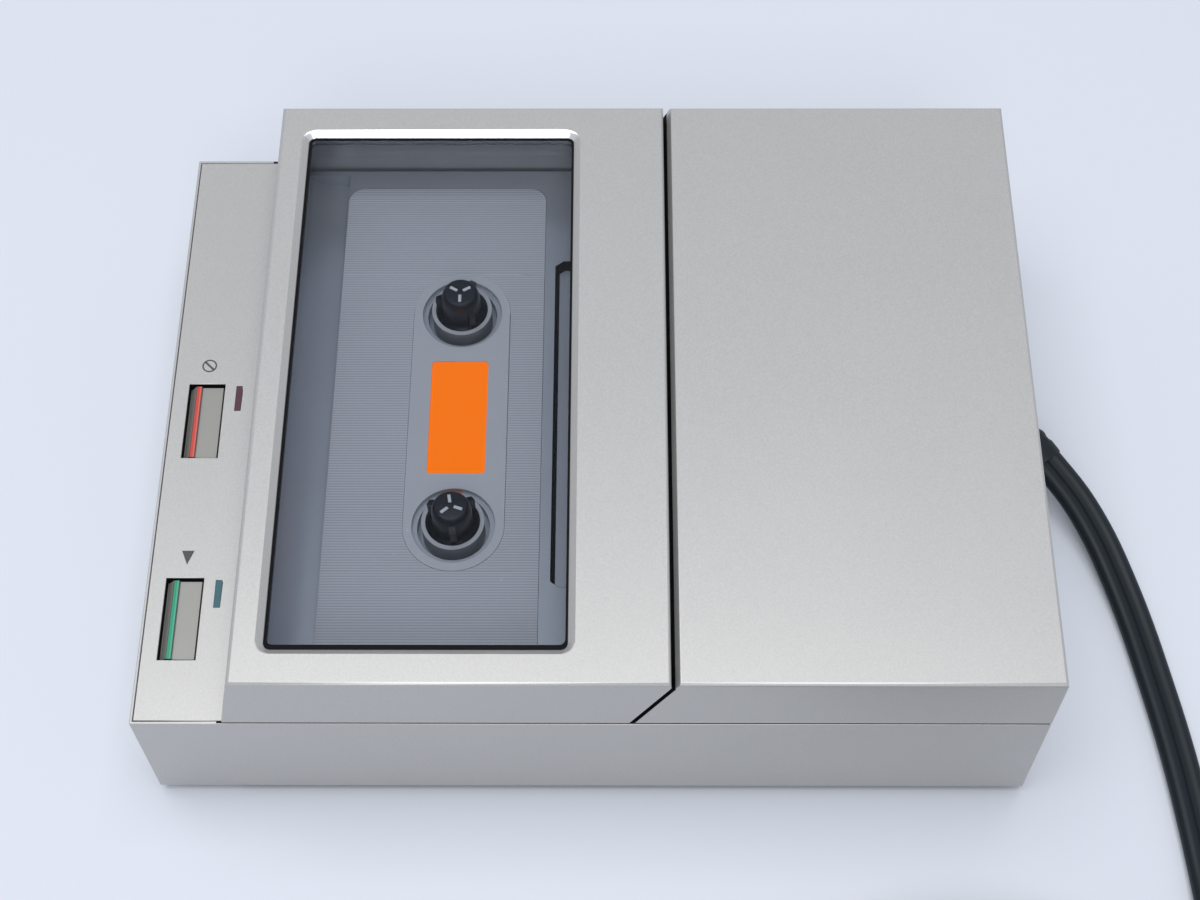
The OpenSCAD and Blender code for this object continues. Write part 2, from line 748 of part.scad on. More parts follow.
module deck() color([0.3, 0.32, 0.38]) {
    difference() {
        union() {
            block([-deck_half, deck_front, deck_under], [deck_half, deck_rear, deck_z]);
            // pan under the finger scoop
            block([-deck_half, y_at(plate_y - scoop_d - 1), deck_z - scoop_h - deck_t],
                  [deck_half, y_at(plate_y + deck_t), deck_z]);
            // pan under the rear step
            translate([0, 0, deck_under - step_h]) linear_extrude(step_h + eps)
                trapezoid(deck_t, step_y - deck_t, deck_rear);
            // cups under the spindle wells
            for (x = [-hub_x, hub_x])
                translate([x, y_at(hub_y), well_floor - deck_t])
                    cylinder(d = well_d + 2 * deck_t, h = deck_z - well_floor + deck_t - plate_t - eps);
            // wall between the cassette bay and the mains parts
            block([-bay_half + 0.2, deck_rear - wall_t, deck_z - eps],
                  [bay_half - 0.2, deck_rear, mouth_z - 0.3]);
            for (x = [-post_x, post_x], y = post_ys)
                translate([x, y_at(y), chassis_top])
                    cylinder(r = post_r, h = deck_under - chassis_top + eps);
        }
        // finger scoop, hollow in a round sweep down to its rear edge
        intersection() {
            translate([0, y_at(plate_y), deck_z - scoop_h + scoop_r]) rotate([0, 90, 0])
                cylinder(r = scoop_r, h = 2 * body_w, center = true, $fn = 96);
            block([-deck_half + 1, y_at(plate_y - scoop_d - 0.5), deck_z - scoop_h - 1],
                  [deck_half - 1, y_at(plate_y), deck_z + 1]);
        }
        // recess of the rear step
        translate([0, 0, deck_z - step_h]) linear_extrude(step_h + 1)
            trapezoid(0, step_y, deck_rear - wall_t);
        // seat of the ribbed plate, and the wells through it
        translate([0, y_at(plate_y + plate_d / 2), deck_z - plate_t])
            linear_extrude(plate_t + 1) rounded(plate_w + 2 * fit, plate_d + 2 * fit, plate_r);
        for (x = [-hub_x, hub_x]) translate([x, y_at(hub_y), 0]) {
            translate([0, 0, well_floor]) cylinder(d = well_d - 2 * well_ledge, h = well_h + 1);
            translate([0, 0, well_floor - deck_t - 1]) cylinder(r = bearing_r + fit, h = deck_t + 2);
        }
        for (x = [-post_x, post_x], y = post_ys)
            translate([x, y_at(y), chassis_top - 1]) cylinder(r = 1 + pilot, h = 8);
        // screw holes of the head bracket
        for (x = head_screw_xs)
            translate([x, deck_rear + 1, head_screw_z]) rotate([90, 0, 0]) cylinder(r = 1.06, h = wall_t + 2);
        // clear of the rear cover's side walls, which come down beside the deck
        for (x = [-1, 1])
            block([x > 0 ? mouth_half - 0.2 : -body_w, cover_face(deck_z) - 3, deck_under - 1],
                  [x > 0 ? body_w : 0.2 - mouth_half, deck_rear + 1, deck_z + 1]);
    }
}

module ribbed_plate() color([0.52, 0.52, 0.58]) {
    translate([0, 0, deck_z - plate_t]) linear_extrude(plate_t) difference() {
        translate([0, y_at(plate_y + plate_d / 2)]) rounded(plate_w, plate_d, plate_r);
        translate([0, y_at(hub_y)]) surround_outline(surround_d + 2 * fit);
    }
}

module hub_surround() color([0.5, 0.51, 0.57]) {
    translate([0, y_at(hub_y), deck_z - plate_t]) linear_extrude(plate_t + 0.1) difference() {
        surround_outline(surround_d);
        for (x = [-hub_x, hub_x]) translate([x, 0]) circle(d = well_d);
        rounded(backing_w + 2 * fit, backing_d + 2 * fit, 0.6);
    }
}

module backing_plate() color([1, 0.45, 0.02])
    translate([0, y_at(hub_y), deck_z - plate_t]) linear_extrude(plate_t) rounded(backing_w, backing_d, 0.6);

// ---- spindles ----

collar_top = deck_z + collar_rise;
foot_gap = 0.2;

module bushing() color([0.72, 0.72, 0.7]) {
    translate([0, y_at(hub_y), 0]) rotate_extrude() polygon([
        [shaft_d / 2 + running, chassis_z], [bearing_r, chassis_z], [bearing_r, well_floor],
        [collar_d / 2, well_floor], [collar_d / 2, collar_top], [collar_d / 2 - collar_t, collar_top],
        [collar_d / 2 - collar_t, well_floor + 0.8], [shaft_d / 2 + running, well_floor + 0.8]
    ]);
}

// a finned spindle: foot disc, core with a rounded top, three fins that reach out above the collar
module spindle() color([0.05, 0.05, 0.06]) {
    foot = well_floor + 0.8 + foot_gap;
    foot_r = collar_d / 2 - collar_t - 0.3;
    top = deck_z + spindle_h;
    rise = top - foot;
    disc_h = collar_top - foot - 0.5;
    translate([0, y_at(hub_y), foot]) difference() {
        union() {
            rotate_extrude() polygon([
                [0, 0], [foot_r, 0], [foot_r, disc_h], [core_d / 2 + 0.5, disc_h + 0.6],
                [core_d / 2, rise - 2.6], [core_d / 2 - 0.2, rise - 1.2], [core_d / 2 - 0.5, rise - 0.4],
                [core_d / 2 - 1, rise], [0, rise]
            ]);
            for (a = [90, 210, 330]) rotate([0, 0, a])
                rotate([90, 0, 0]) translate([0, 0, -0.5]) linear_extrude(1) polygon([
                    [1, 1], [foot_r - 0.1, 1], [foot_r - 0.1, disc_h + 0.7], [spindle_d / 2, disc_h + 1.1],
                    [spindle_d / 2, rise - 2.4], [spindle_d / 2 - 0.6, rise - 2], [1, rise - 2]
                ]);
        }
        translate([0, 0, -1]) cylinder(d = shaft_d + 0.02, h = rise - 1.5);
    }
}

// the white three-armed mark on a spindle's top
module cap_mark() color([0.93, 0.93, 0.93])
    translate([0, y_at(hub_y), deck_z + spindle_h]) linear_extrude(0.25)
        for (a = [30, 150, 270]) rotate(a) translate([0.6, -0.26]) square([core_d / 2 - 1.9, 0.52]);

module shaft() color([0.7, 0.7, 0.72])
    translate([0, y_at(hub_y), pulley_z - 1]) cylinder(d = shaft_d, h = deck_z + spindle_h - 3.5 - pulley_z);

module supply_bushing() translate([-hub_x, 0, 0]) bushing();
module takeup_bushing() translate([hub_x, 0, 0]) bushing();
// turned about its hub, which lies x right of the middle
module turned(x, angle) translate([x, y_at(hub_y), 0]) rotate([0, 0, angle])
    translate([0, -y_at(hub_y), 0]) children();
module supply_spindle() turned(-hub_x, -60) spindle();
module takeup_spindle() turned(hub_x, 35) spindle();
module supply_cap() turned(-hub_x, -30) cap_mark();
module takeup_cap() turned(hub_x, 40) cap_mark();
module supply_shaft() translate([-hub_x, 0, 0]) shaft();
module takeup_shaft() translate([hub_x, 0, 0]) shaft();

// ---- drive ----

// a belt pulley with two flanges; r is the radius on which the belt runs
module pulley(r, bore) {
    rotate_extrude() polygon([
        [bore, 0], [r + flange_over, 0], [r + flange_over, 1], [r, 1.6], [r, pulley_h - 1.6],
        [r + flange_over, pulley_h - 1], [r + flange_over, pulley_h], [bore, pulley_h]
    ]);
}

module takeup_pulley() color([0.85, 0.84, 0.8])
    translate([hub_x, y_at(hub_y), pulley_z]) pulley(takeup_d / 2, shaft_d / 2 + 0.01);

module supply_drum() color([0.85, 0.84, 0.8])
    translate([-hub_x, y_at(hub_y), pulley_z]) rotate_extrude() polygon([
        [shaft_d / 2 + 0.01, 0], [drum_d / 2, 0], [drum_d / 2, pulley_h - 1], [4, pulley_h - 1],
        [4, pulley_h], [shaft_d / 2 + 0.01, pulley_h]
    ]);

// a sprung arm with a felt pad beside the supply drum
module felt_brake() color([0.35, 0.42, 0.3]) {
    pad_x = -hub_x - drum_d / 2 - 0.1;
    block([pad_x - 2, y_at(hub_y) - 3, pulley_z + 0.5], [pad_x, y_at(hub_y) + 3, pulley_z + pulley_h - 1.5]);
    block([pad_x - 2.6, y_at(hub_y) - 3, pulley_z + 0.5], [pad_x - 2 + eps, y_at(hub_y) + 14, chassis_z]);
}

module chassis_plate() color([0.72, 0.73, 0.72]) {
    difference() {
        union() {
            block([-post_x - post_edge, y_at(post_ys[0] - post_edge), chassis_z],
                  [post_x + post_edge, y_at(chassis_back), chassis_top]);
            block([motor_x - motor_d / 2 - 3.5, y_at(chassis_back) - eps, chassis_z],
                  [motor_x + motor_d / 2 + 2.5, y_at(motor_y) + motor_d / 2 + 1.5, chassis_top]);
        }
        for (x = [-hub_x, hub_x])
            translate([x, y_at(hub_y), chassis_z - 1]) cylinder(r = bearing_r + fit, h = chassis_t + 2);
        translate([motor_x, y_at(motor_y), chassis_z - 1]) cylinder(r = 3.2, h = chassis_t + 2);
        for (s = [-1, 1])
            translate([motor_x + 8 * s, y_at(motor_y), chassis_z - 1]) cylinder(r = 1.2, h = chassis_t + 2);
        for (x = [-post_x, post_x], y = post_ys)
            translate([x, y_at(y), chassis_z - 1]) cylinder(r = 1.15, h = chassis_t + 2);
    }
}

module chassis_screws() color([0.6, 0.6, 0.58]) {
    for (x = [-post_x, post_x], y = post_ys)
        translate([x, y_at(y), chassis_z]) screw(7, 1);
}

module motor_screws() color([0.6, 0.6, 0.58]) {
    for (s = [-1, 1])
        translate([motor_x + 8 * s, y_at(motor_y), chassis_z]) screw(3.5, 1);
}

module drive_motor() color([0.66, 0.67, 0.68]) {
    translate([motor_x, y_at(motor_y), chassis_top]) difference() {
        union() {
            cylinder(d = motor_d, h = motor_h);
            translate([0, 0, -chassis_t]) cylinder(r = 3, h = chassis_t + eps);
            translate([0, 0, motor_h - eps]) cylinder(r = 5, h = 1.2);
        }
        translate([0, 0, -3]) cylinder(r = 1 + running, h = motor_h);
        for (s = [-1, 1]) translate([8 * s, 0, -1]) cylinder(r = 1 + pilot, h = 5);
    }
}

module motor_shaft() color([0.75, 0.75, 0.77])
    translate([motor_x, y_at(motor_y), pulley_z - 0.5]) cylinder(r = 1, h = motor_h + 2);

module motor_pulley() color([0.8, 0.66, 0.35])
    translate([motor_x, y_at(motor_y), pulley_z]) pulley(motor_pulley_d / 2, 1.01);

// the belt's loop round both pulleys, grown by g
module belt_loop(g) {
    hull() {
        translate([hub_x, y_at(hub_y)]) circle(takeup_d / 2 + g, $fn = 64);
        translate([motor_x, y_at(motor_y)]) circle(motor_pulley_d / 2 + g, $fn = 48);
    }
}

module drive_belt() color([0.03, 0.03, 0.03])
    translate([0, 0, pulley_z + pulley_h / 2 - 0.6]) linear_extrude(1.2) difference() {
        belt_loop(groove_clear + belt_t);
        belt_loop(groove_clear);
    }

// ---- erase head ----

head_w = 12;
head_z0 = deck_z + 0.4;
head_z1 = deck_z + 9.4;
head_front = edge_y - 5.8;
bracket_y = deck_rear - wall_t - 1.5;
head_screw_xs = [-head_w, head_w];
head_screw_z = deck_z + 7;

module erase_head() color([0.6, 0.6, 0.58]) {
    across(head_w) polygon([
        [head_front + 0.6, head_z0], [bracket_y, head_z0], [bracket_y, head_z1],
        [head_front + 0.6, head_z1], [head_front, head_z1 - 2.5], [head_front, head_z0 + 2.5]
    ]);
}

module head_bracket() color([0.7, 0.7, 0.68]) {
    difference() {
        block([-head_w - 4, bracket_y, deck_z - step_h], [head_w + 4, bracket_y + 1.5, head_z1 + 0.8]);
        for (x = head_screw_xs)
            translate([x, bracket_y + 3, head_screw_z]) rotate([90, 0, 0]) cylinder(r = 1.15, h = 6);
    }
}

module head_screws() color([0.6, 0.6, 0.58]) {
    for (x = head_screw_xs)
        translate([x, bracket_y, head_screw_z]) rotate([-90, 0, 0]) screw(wall_t + 1.2, 1);
}

// ---- mains parts ----

trafo_side = 2.05;
trafo_ahead = 4.5;
trafo_x = trafo_side + (core_w - inner_w) / 2;
trafo_y = (deck_back + body_d - case_wall) / 2 - trafo_ahead;
coil_over = 7;
foot_in = 6;
foot_out = 5;
core_foot_t = 1.2;
chassis_back = trafo_y - core_depth / 2 - coil_over - 9.25;
post_ys = [38, chassis_back - 6];
ledge_ys = [36, chassis_back + ledge_d / 2];
board_lift = 2;
board_side = 12;
board_back = 3;
can_d = 10;
can_h = 16;
relay_size = [14, 10, 8.5];
fuse_d = 5;
fuse_l = 16;
chip_step = 5.5;
chip_size = [2.5, 4, 2];
board_x0 = gland_x + board_side;
board_y1 = body_d - case_wall - board_back;
board_y0 = board_y1 - board_d;
board_pillar_xs = [board_x0 + 4, board_x0 + board_w - 6];
board_pillar_ys = [board_y0 + 4, board_y0 + board_d - 9];

module transformer_core() color([0.35, 0.33, 0.31]) {
    leg = core_w / 6;
    translate([trafo_x, y_at(trafo_y), floor_z]) difference() {
        union() {
            block([-core_w / 2, -core_depth / 2, core_foot_t - 0.2], [core_w / 2, core_depth / 2, core_h]);
            block([-core_w / 2 + foot_in, -core_depth / 2 - foot_out, 0],
                  [core_w / 2 - foot_in, core_depth / 2 + foot_out, core_foot_t]);
        }
        // windows on both sides of the middle leg
        for (s = [-1, 1])
            block([min(s * leg, s * 2 * leg), -core_depth, leg + 1.2], [max(s * leg, s * 2 * leg), core_depth, core_h - leg]);
        for (x = [-1, 1], y = [-1, 1])
            translate([x * (core_w / 2 - foot_in - 3), y * (core_depth / 2 + foot_out / 2), -1])
                cylinder(r = 1.3, h = core_foot_t + 2);
    }
}

module transformer_coil() color([0.55, 0.3, 0.12]) {
    leg = core_w / 6;
    translate([trafo_x, y_at(trafo_y), floor_z]) difference() {
        block([-2 * leg + 0.2, -core_depth / 2 - coil_over, leg + 1.5],
              [2 * leg - 0.2, core_depth / 2 + coil_over, core_h - leg - 0.3]);
        block([-leg - 0.1, -core_depth / 2 - 0.2, 0], [leg + 0.1, core_depth / 2 + 0.2, core_h]);
    }
}

module transformer_screws() color([0.6, 0.6, 0.58]) {
    for (x = [-1, 1], y = [-1, 1])
        translate([trafo_x + x * (core_w / 2 - foot_in - 3), y_at(trafo_y) + y * (core_depth / 2 + foot_out / 2),
                   floor_z + core_foot_t]) mirror([0, 0, 1]) screw(core_foot_t - 0.1, 1.2);
}

module main_board() color([0.6, 0.45, 0.22])
    block([board_x0, y_at(board_y0), floor_z + board_lift],
          [board_x0 + board_w, y_at(board_y0 + board_d), floor_z + board_lift + board_t]);

module board_parts() color([0.12, 0.14, 0.3]) {
    top = floor_z + board_lift + board_t;
    // two capacitors, a relay, a fuse and a row of small parts
    for (y = [0.8, 2]) translate([board_x0 + 0.65 * can_d, y_at(board_y1) - y * can_d, top]) cylinder(d = can_d, h = can_h);
    translate([board_x0 + board_w - relay_size[0] - board_lift, y_at(board_y1 - board_back) - relay_size[1], top])
        cube(relay_size);
    translate([board_x0 + fuse_d / 2, y_at(board_y0) + 2 * fuse_d, top + fuse_d / 2 + eps]) rotate([0, 90, 0])
        cylinder(d = fuse_d, h = fuse_l);
    for (i = [0:5])
        translate([board_x0 + chip_step * (i + 1), y_at(board_y0) + chip_size[1] / 2, top]) cube(chip_size);
}

// ---- mains lead ----

// the section of the flat twin lead: two round cores joined by a web, from which its ends fan out
lobe = lead_t / 2;
lead_section = concat(
    [[0, lobe * 0.6]],
    [for (a = [60, 120, 180, 240, 300]) [lobe - lead_w / 2 + lobe * cos(a), lobe * sin(a)]],
    [[0, -lobe * 0.6]],
    [for (a = [-120, -60, 0, 60, 120]) [lead_w / 2 - lobe + lobe * cos(a), lobe * sin(a)]]
);
// a coarser section for the wound length
wound_section = [
    [lead_w / 2, 0], [lead_w / 4, lobe], [-lead_w / 4, lobe],
    [-lead_w / 2, 0], [-lead_w / 4, -lobe], [lead_w / 4, -lobe]
];

// the boot curves from straight out of the pocket to the route's first heading
boot_rings = 9;
function boot_at(a) = [
    gland_x + boot_bend * (1 - cos(a)), rear_y - pocket_d + boot_bend * sin(a),
    gland_z - boot_fall * pow(a / boot_turn, 2)
];
boot_points = [for (i = [0:boot_rings]) boot_at(boot_turn * i / boot_rings)];
boot_end = unit(place(lead_route[1]) - place(lead_route[0]));
function boot_section(share) =
    let(swell = pow(1 - share, 2))
    [for (a = [0:30:330]) [(3.35 + 1.85 * swell) * cos(a), (1.9 + 1.9 * swell) * sin(a)]];

module strain_relief() color([0.05, 0.05, 0.05]) {
    tube([for (i = [0:boot_rings])
        ring(i == boot_rings ? place(lead_route[0]) : boot_points[i],
             i == 0 ? [0, 1, 0] : i == boot_rings ? boot_end : heading(boot_points, i),
             0, boot_section(i / boot_rings))]);
    translate([gland_x, rear_y - pocket_d - 1.5, gland_z]) rotate([-90, 0, 0]) {
        cylinder(r = 3.5, h = 1.5 + 0.6);
        translate([0, 0, -2]) cylinder(r = 5, h = 2);
    }
}

lead_points = [for (row = lead_route) place(row)];

module mains_cord() color([0.04, 0.05, 0.05])
    tube([for (i = [0:len(lead_route) - 1])
        ring(lead_points[i], i == 0 ? boot_end : i == len(lead_route) - 1 ? [1, 0, 0] : heading(lead_points, i),
             lead_route[i][3], lead_section)]);

// the coil: in on the lower layer, a climb in the half turn where it reverses, out on the upper layer
turns = turns_in + turns_out;
function coil_radius(t) = coil_r - coil_step * (t < turns_in ? t : 2 * turns_in - t);
function coil_height(t) = 3.15 + coil_rise * max(0, min(1, (t - turns_in + 0.25) * 2));
function coil_at(t) = [
    coil_x + coil_radius(t) * sin(360 * t), coil_y + coil_radius(t) * cos(360 * t), coil_height(t)
];
coil_rings = turns * turn_rings;
coil_points = concat(
    [for (i = [0:coil_rings]) coil_at(i / turn_rings)],
    [[plug_x, plug_y, plug_z]]
);
coil_ring_list = [for (i = [0:coil_rings + 1])
    ring(coil_points[i], i == 0 ? [1, 0, 0] : i >= coil_rings ? [0, -1, 0] : heading(coil_points, i),
         90, wound_section)];
coil_gap = min([for (i = [0:coil_rings - turn_rings + 2], j = [i + turn_rings - 2:coil_rings])
    if (abs(((j - i + 2) % turn_rings) - 2) <= 2)
        for (p = coil_ring_list[i], q = coil_ring_list[j]) norm(p - q)]);
coil_length = (len(coil_points) > 1)
    ? [for (i = [1:len(coil_points) - 1]) norm(coil_points[i] - coil_points[i - 1])] * [for (i = [1:len(coil_points) - 1]) 1]
    : 0;
route_length = [for (i = [1:len(lead_points) - 1]) norm(lead_points[i] - lead_points[i - 1])]
    * [for (i = [1:len(lead_points) - 1]) 1];

module cord_coil() color([0.04, 0.05, 0.05]) {
    echo(least_gap_of_the_coil_mm = coil_gap);
    echo(length_of_the_lead_mm = coil_length + route_length);
    tube(coil_ring_list);
}

relief_l = 22;
plug_l = 26;
plug_w = 24;
blade_gap = 12.7;
blade_w = 6.3;
blade_t = 1.5;
blade_l = 17;
blade_root = 5;

module at_plug() translate([plug_x, plug_y, plug_z]) rotate([90, 0, 0]) children();

module blades(grow) {
    for (x = [-blade_gap / 2, blade_gap / 2])
        translate([x, 0, relief_l + plug_l - blade_root])
            block([-blade_t / 2 - grow, -blade_w / 2 - grow, -grow],
                  [blade_t / 2 + grow, blade_w / 2 + grow, blade_root + blade_l]);
}

module plug_body() color([0.05, 0.05, 0.05]) at_plug() {
    cylinder(r1 = 4.2, r2 = 6.6, h = relief_l);
    for (i = [1:5]) translate([0, 0, 3.4 * i]) cylinder(r = 5.2 + 0.38 * i, h = 1.6);
    difference() {
        translate([0, 0, relief_l - eps]) linear_extrude(plug_l) rounded(plug_w, 2 * plug_z, 5);
        blades(0.02);
    }
}

module plug_blades() color([0.8, 0.7, 0.45]) at_plug() difference() {
    blades(0);
    for (x = [-blade_gap / 2, blade_gap / 2])
        translate([x, 0, relief_l + plug_l + 12]) rotate([0, 90, 0]) cylinder(r = 1.5, h = 4, center = true);
}

lower_case();
bottom_plate();
rubber_feet();
case_screws();
control_panel();
erase_button();
erase_stripe();
start_button();
start_stripe();
erase_spring();
start_spring();
erase_lens();
start_lens();
switch_board();
push_switches();
indicator_lamps();
lid_frame();
lid_window();
window_seal();
hinge_brackets();
hinge_pins();
lid_bumpers();
rear_cover();
deck();
ribbed_plate();
hub_surround();
backing_plate();
supply_bushing();
takeup_bushing();
supply_spindle();
takeup_spindle();
supply_cap();
takeup_cap();
supply_shaft();
takeup_shaft();
supply_drum();
felt_brake();
takeup_pulley();
chassis_plate();
chassis_screws();
drive_motor();
motor_screws();
motor_shaft();
motor_pulley();
drive_belt();
erase_head();
head_bracket();
head_screws();
transformer_core();
transformer_coil();
transformer_screws();
main_board();
board_parts();
strain_relief();
mains_cord();
cord_coil();
plug_body();
plug_blades();
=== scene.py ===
from math import cos, pi, radians, sin

import bmesh
import bpy
from mathutils import Matrix, Vector


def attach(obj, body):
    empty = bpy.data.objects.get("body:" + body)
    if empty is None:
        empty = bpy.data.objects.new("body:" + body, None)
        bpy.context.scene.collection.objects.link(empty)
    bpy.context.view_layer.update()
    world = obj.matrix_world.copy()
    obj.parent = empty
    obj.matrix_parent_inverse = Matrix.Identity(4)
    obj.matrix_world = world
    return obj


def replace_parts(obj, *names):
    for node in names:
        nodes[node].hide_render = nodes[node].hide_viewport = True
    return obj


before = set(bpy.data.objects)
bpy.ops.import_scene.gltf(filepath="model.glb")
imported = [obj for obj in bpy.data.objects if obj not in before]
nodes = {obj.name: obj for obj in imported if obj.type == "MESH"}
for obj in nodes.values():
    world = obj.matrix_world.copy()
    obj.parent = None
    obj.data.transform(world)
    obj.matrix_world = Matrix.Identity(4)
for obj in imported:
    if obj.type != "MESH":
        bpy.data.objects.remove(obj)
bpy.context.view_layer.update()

mm = 0.001
scene = bpy.context.scene

# main sizes of the source, in millimetres: the case, the tops of the plates and the strip, the spindles' places
caseDepth = 147.5
caseHalf = 113.1 / 2
caseTop = 44.8
plateTop = 30.4
stripTop = 29.1
hubAway = 21.25
hubFromFront = 50.7


def fromFront(v):
    # a distance from the front face, in millimetres, as the model's y
    return v - caseDepth / 2


# camera, solved from the case's corners in the photograph
cameraView = {"place": (0.184747, 0.003698, 0.339129), "azimuth": 90.698, "height": 60.012, "roll": -0.568,
              "lens": 62.43, "sensor": 36}


def makeCamera():
    a, e, r = (radians(cameraView[k]) for k in ("azimuth", "height", "roll"))
    back = Vector((sin(a) * cos(e), -cos(a) * cos(e), sin(e)))
    right = Vector((0, 0, 1)).cross(back).normalized()
    up = back.cross(right)
    turnedRight = right * cos(r) + up * sin(r)
    turnedUp = up * cos(r) - right * sin(r)
    data = bpy.data.cameras.new("camera")
    data.lens, data.sensor_width, data.clip_start = cameraView["lens"], cameraView["sensor"], 0.01
    camera = bpy.data.objects.new("camera", data)
    scene.collection.objects.link(camera)
    camera.matrix_world = Matrix.Translation(cameraView["place"]) @ Matrix(
        (turnedRight, turnedUp, back)).transposed().to_4x4()
    scene.camera = camera


makeCamera()
print("camera set")


class Wire:
    # a socket that does sums
    def __init__(self, paint, socket):
        self.paint, self.socket = paint, socket

    def sum(self, operation, a, b=0.0):
        return self.paint.add("ShaderNodeMath", {"operation": operation}, {0: a, 1: b})

    def __add__(self, other): return self.sum("ADD", self, other)
    def __radd__(self, other): return self.sum("ADD", other, self)
    def __sub__(self, other): return self.sum("SUBTRACT", self, other)
    def __rsub__(self, other): return self.sum("SUBTRACT", other, self)
    def __mul__(self, other): return self.sum("MULTIPLY", self, other)
    def __rmul__(self, other): return self.sum("MULTIPLY", other, self)
    def __truediv__(self, other): return self.sum("DIVIDE", self, other)
    def __rtruediv__(self, other): return self.sum("DIVIDE", other, self)
    def __pow__(self, other): return self.sum("POWER", self, other)
    def __gt__(self, other): return self.sum("GREATER_THAN", self, other)
    def __lt__(self, other): return self.sum("LESS_THAN", self, other)
    def waves(self, pitch): return self.sum("SINE", self * (2 * pi / pitch)) * 0.5 + 0.5
    def limited(self): return self.paint.add("ShaderNodeClamp", {}, {0: self})


class Paint:
    # a material and the nodes that are added to it
    def __init__(self, name, colour=(0.5, 0.5, 0.5), **fixed):
        self.material = bpy.data.materials.new(name)
        self.material.use_nodes = True
        self.tree = self.material.node_tree
        self.shader = self.tree.nodes["Principled BSDF"]
        self.feed("Base Color", (*colour, 1))
        for socket, value in fixed.items():
            self.feed(socket.replace("_", " "), value)

    def add(self, kind, settings=None, sockets=None, out=0):
        made = self.tree.nodes.new(kind)
        for key, value in (settings or {}).items():
            setattr(made, key, value)
        for key, value in (sockets or {}).items():
            self.join(made.inputs[key], value)
        return Wire(self, made.outputs[out])

    def join(self, socket, value):
        if isinstance(value, Wire):
            self.tree.links.new(value.socket, socket)
        else:
            socket.default_value = value

    def feed(self, socket, value):
        self.join(self.shader.inputs[socket], value)
        return self

    def place(self):
        # the object's own coordinates, which are the model's, in metres
        return self.add("ShaderNodeTexCoord", out=3)

    def axes(self):
        split = self.add("ShaderNodeSeparateXYZ", {}, {0: self.place()})
        return [Wire(self, s) for s in split.socket.node.outputs]

    def noise(self, size, detail=2.0, rough=0.5, out=0):
        return self.add("ShaderNodeTexNoise", {}, {"Vector": self.place(), "Scale": 1 / size,
                                                   "Detail": detail, "Roughness": rough}, out)

    def mix(self, share, a, b):
        full = [c if isinstance(c, Wire) else (*c, 1) for c in (a, b)]
        return self.add("ShaderNodeMix", {"data_type": "RGBA"}, {0: share, 6: full[0], 7: full[1]}, 2)

    def relief(self, height, depth, strength=1.0):
        return self.feed("Normal", self.add("ShaderNodeBump", {}, {"Height": height, "Distance": depth,
                                                                   "Strength": strength}))


# fine metallic paint on the case
silverLook = {"colour": (0.535, 0.525, 0.507), "dark": (0.455, 0.447, 0.432), "flake": 0.00024, "metal": 0.5,
              "rough": 0.34, "orangePeel": 0.0016}


def silverPaint(name="silverPaint"):
    paint = Paint(name, Metallic=silverLook["metal"], IOR=1.5)
    flakes = paint.noise(silverLook["flake"], 1.0)
    cloud = paint.noise(0.03, 2.0)
    paint.feed("Base Color", paint.mix((flakes - 0.5) * 1.6 + 0.5 + (cloud - 0.5) * 0.3,
                                       silverLook["dark"], silverLook["colour"]))
    paint.feed("Roughness", silverLook["rough"] + (flakes - 0.5) * 0.16)
    paint.relief(paint.noise(silverLook["orangePeel"], 3.0, 0.6), 0.00001, 0.5)
    return paint.material


def moulded(name, colour, rough=0.5, grain=0.0006, depth=0.00001, spread=0.12, **fixed):
    # moulded plastic or rubber: a fine grain and slightly uneven colour
    paint = Paint(name, **fixed)
    grains = paint.noise(grain, 3.0, 0.6)
    tone = paint.noise(0.012, 2.0)
    darker = tuple(c * (1 - spread) for c in colour)
    lighter = tuple(min(1, c * (1 + spread)) for c in colour)
    paint.feed("Base Color", paint.mix(tone * 0.7 + grains * 0.3, darker, lighter))
    paint.feed("Roughness", rough + (grains - 0.5) * 0.12)
    paint.relief(grains, depth, 0.6)
    return paint.material


# the stripes' bands, as shares of their width; below the split the stripe is painted as the shaded side of the
# key's ridge, above it as the lit side
inlayBands = {"bounds": (0.16, 0.86), "line": (0.52, 0.6), "split": 0.56}


def inlayWithPaintedShade(name, colour, lighter):
    # a strip in two tones with a fine dark line between them: the darker and the lighter tone are painted shade
    # and painted light on the two slopes of the key's ridge
    paint = Paint(name)
    own = paint.add("ShaderNodeSeparateXYZ", {}, {0: paint.add("ShaderNodeTexCoord", out=0)}, 1)
    line = (own > inlayBands["line"][0]) * (own < inlayBands["line"][1])
    bounds = (own < inlayBands["bounds"][0]) + (own > inlayBands["bounds"][1])
    litAndShadedTones = paint.mix(own > inlayBands["split"], colour, lighter)
    paint.feed("Base Color", paint.mix((line * 0.4 + bounds * 0.85).limited(), litAndShadedTones, (0.03, 0.03, 0.03)))
    paint.feed("Roughness", 0.34 + paint.noise(0.0004) * 0.1)
    return paint.material


def metal(name, colour, rough=0.3, brushed=True, metallic=1.0):
    # plated or rolled metal, brushed along one way
    paint = Paint(name, Metallic=metallic)
    x, y, z = paint.axes()
    along = 90 if brushed else 1200
    stretched = paint.add("ShaderNodeCombineXYZ", {}, {0: x * 1200, 1: y * along, 2: z * 1200})
    streaks = paint.add("ShaderNodeTexNoise", {}, {"Vector": stretched, "Scale": 1.0, "Detail": 3.0})
    stains = paint.noise(0.009, 3.0)
    paint.feed("Base Color", paint.mix(stains * 0.5 + streaks * 0.5, tuple(c * 0.82 for c in colour), colour))
    paint.feed("Roughness", rough + (streaks - 0.5) * 0.2)
    paint.relief(streaks, 0.00001, 0.4)
    return paint.material


# ribs of the plate under the cassette, in millimetres, with the colours of their grooves and crests: the darker
# groove colour is painted shade and the lighter crest colour painted light
ribLook = {"pitch": 0.5, "depth": 0.08, "span": 48, "groove": (0.47, 0.47, 0.48), "litCrest": (0.75, 0.75, 0.76)}


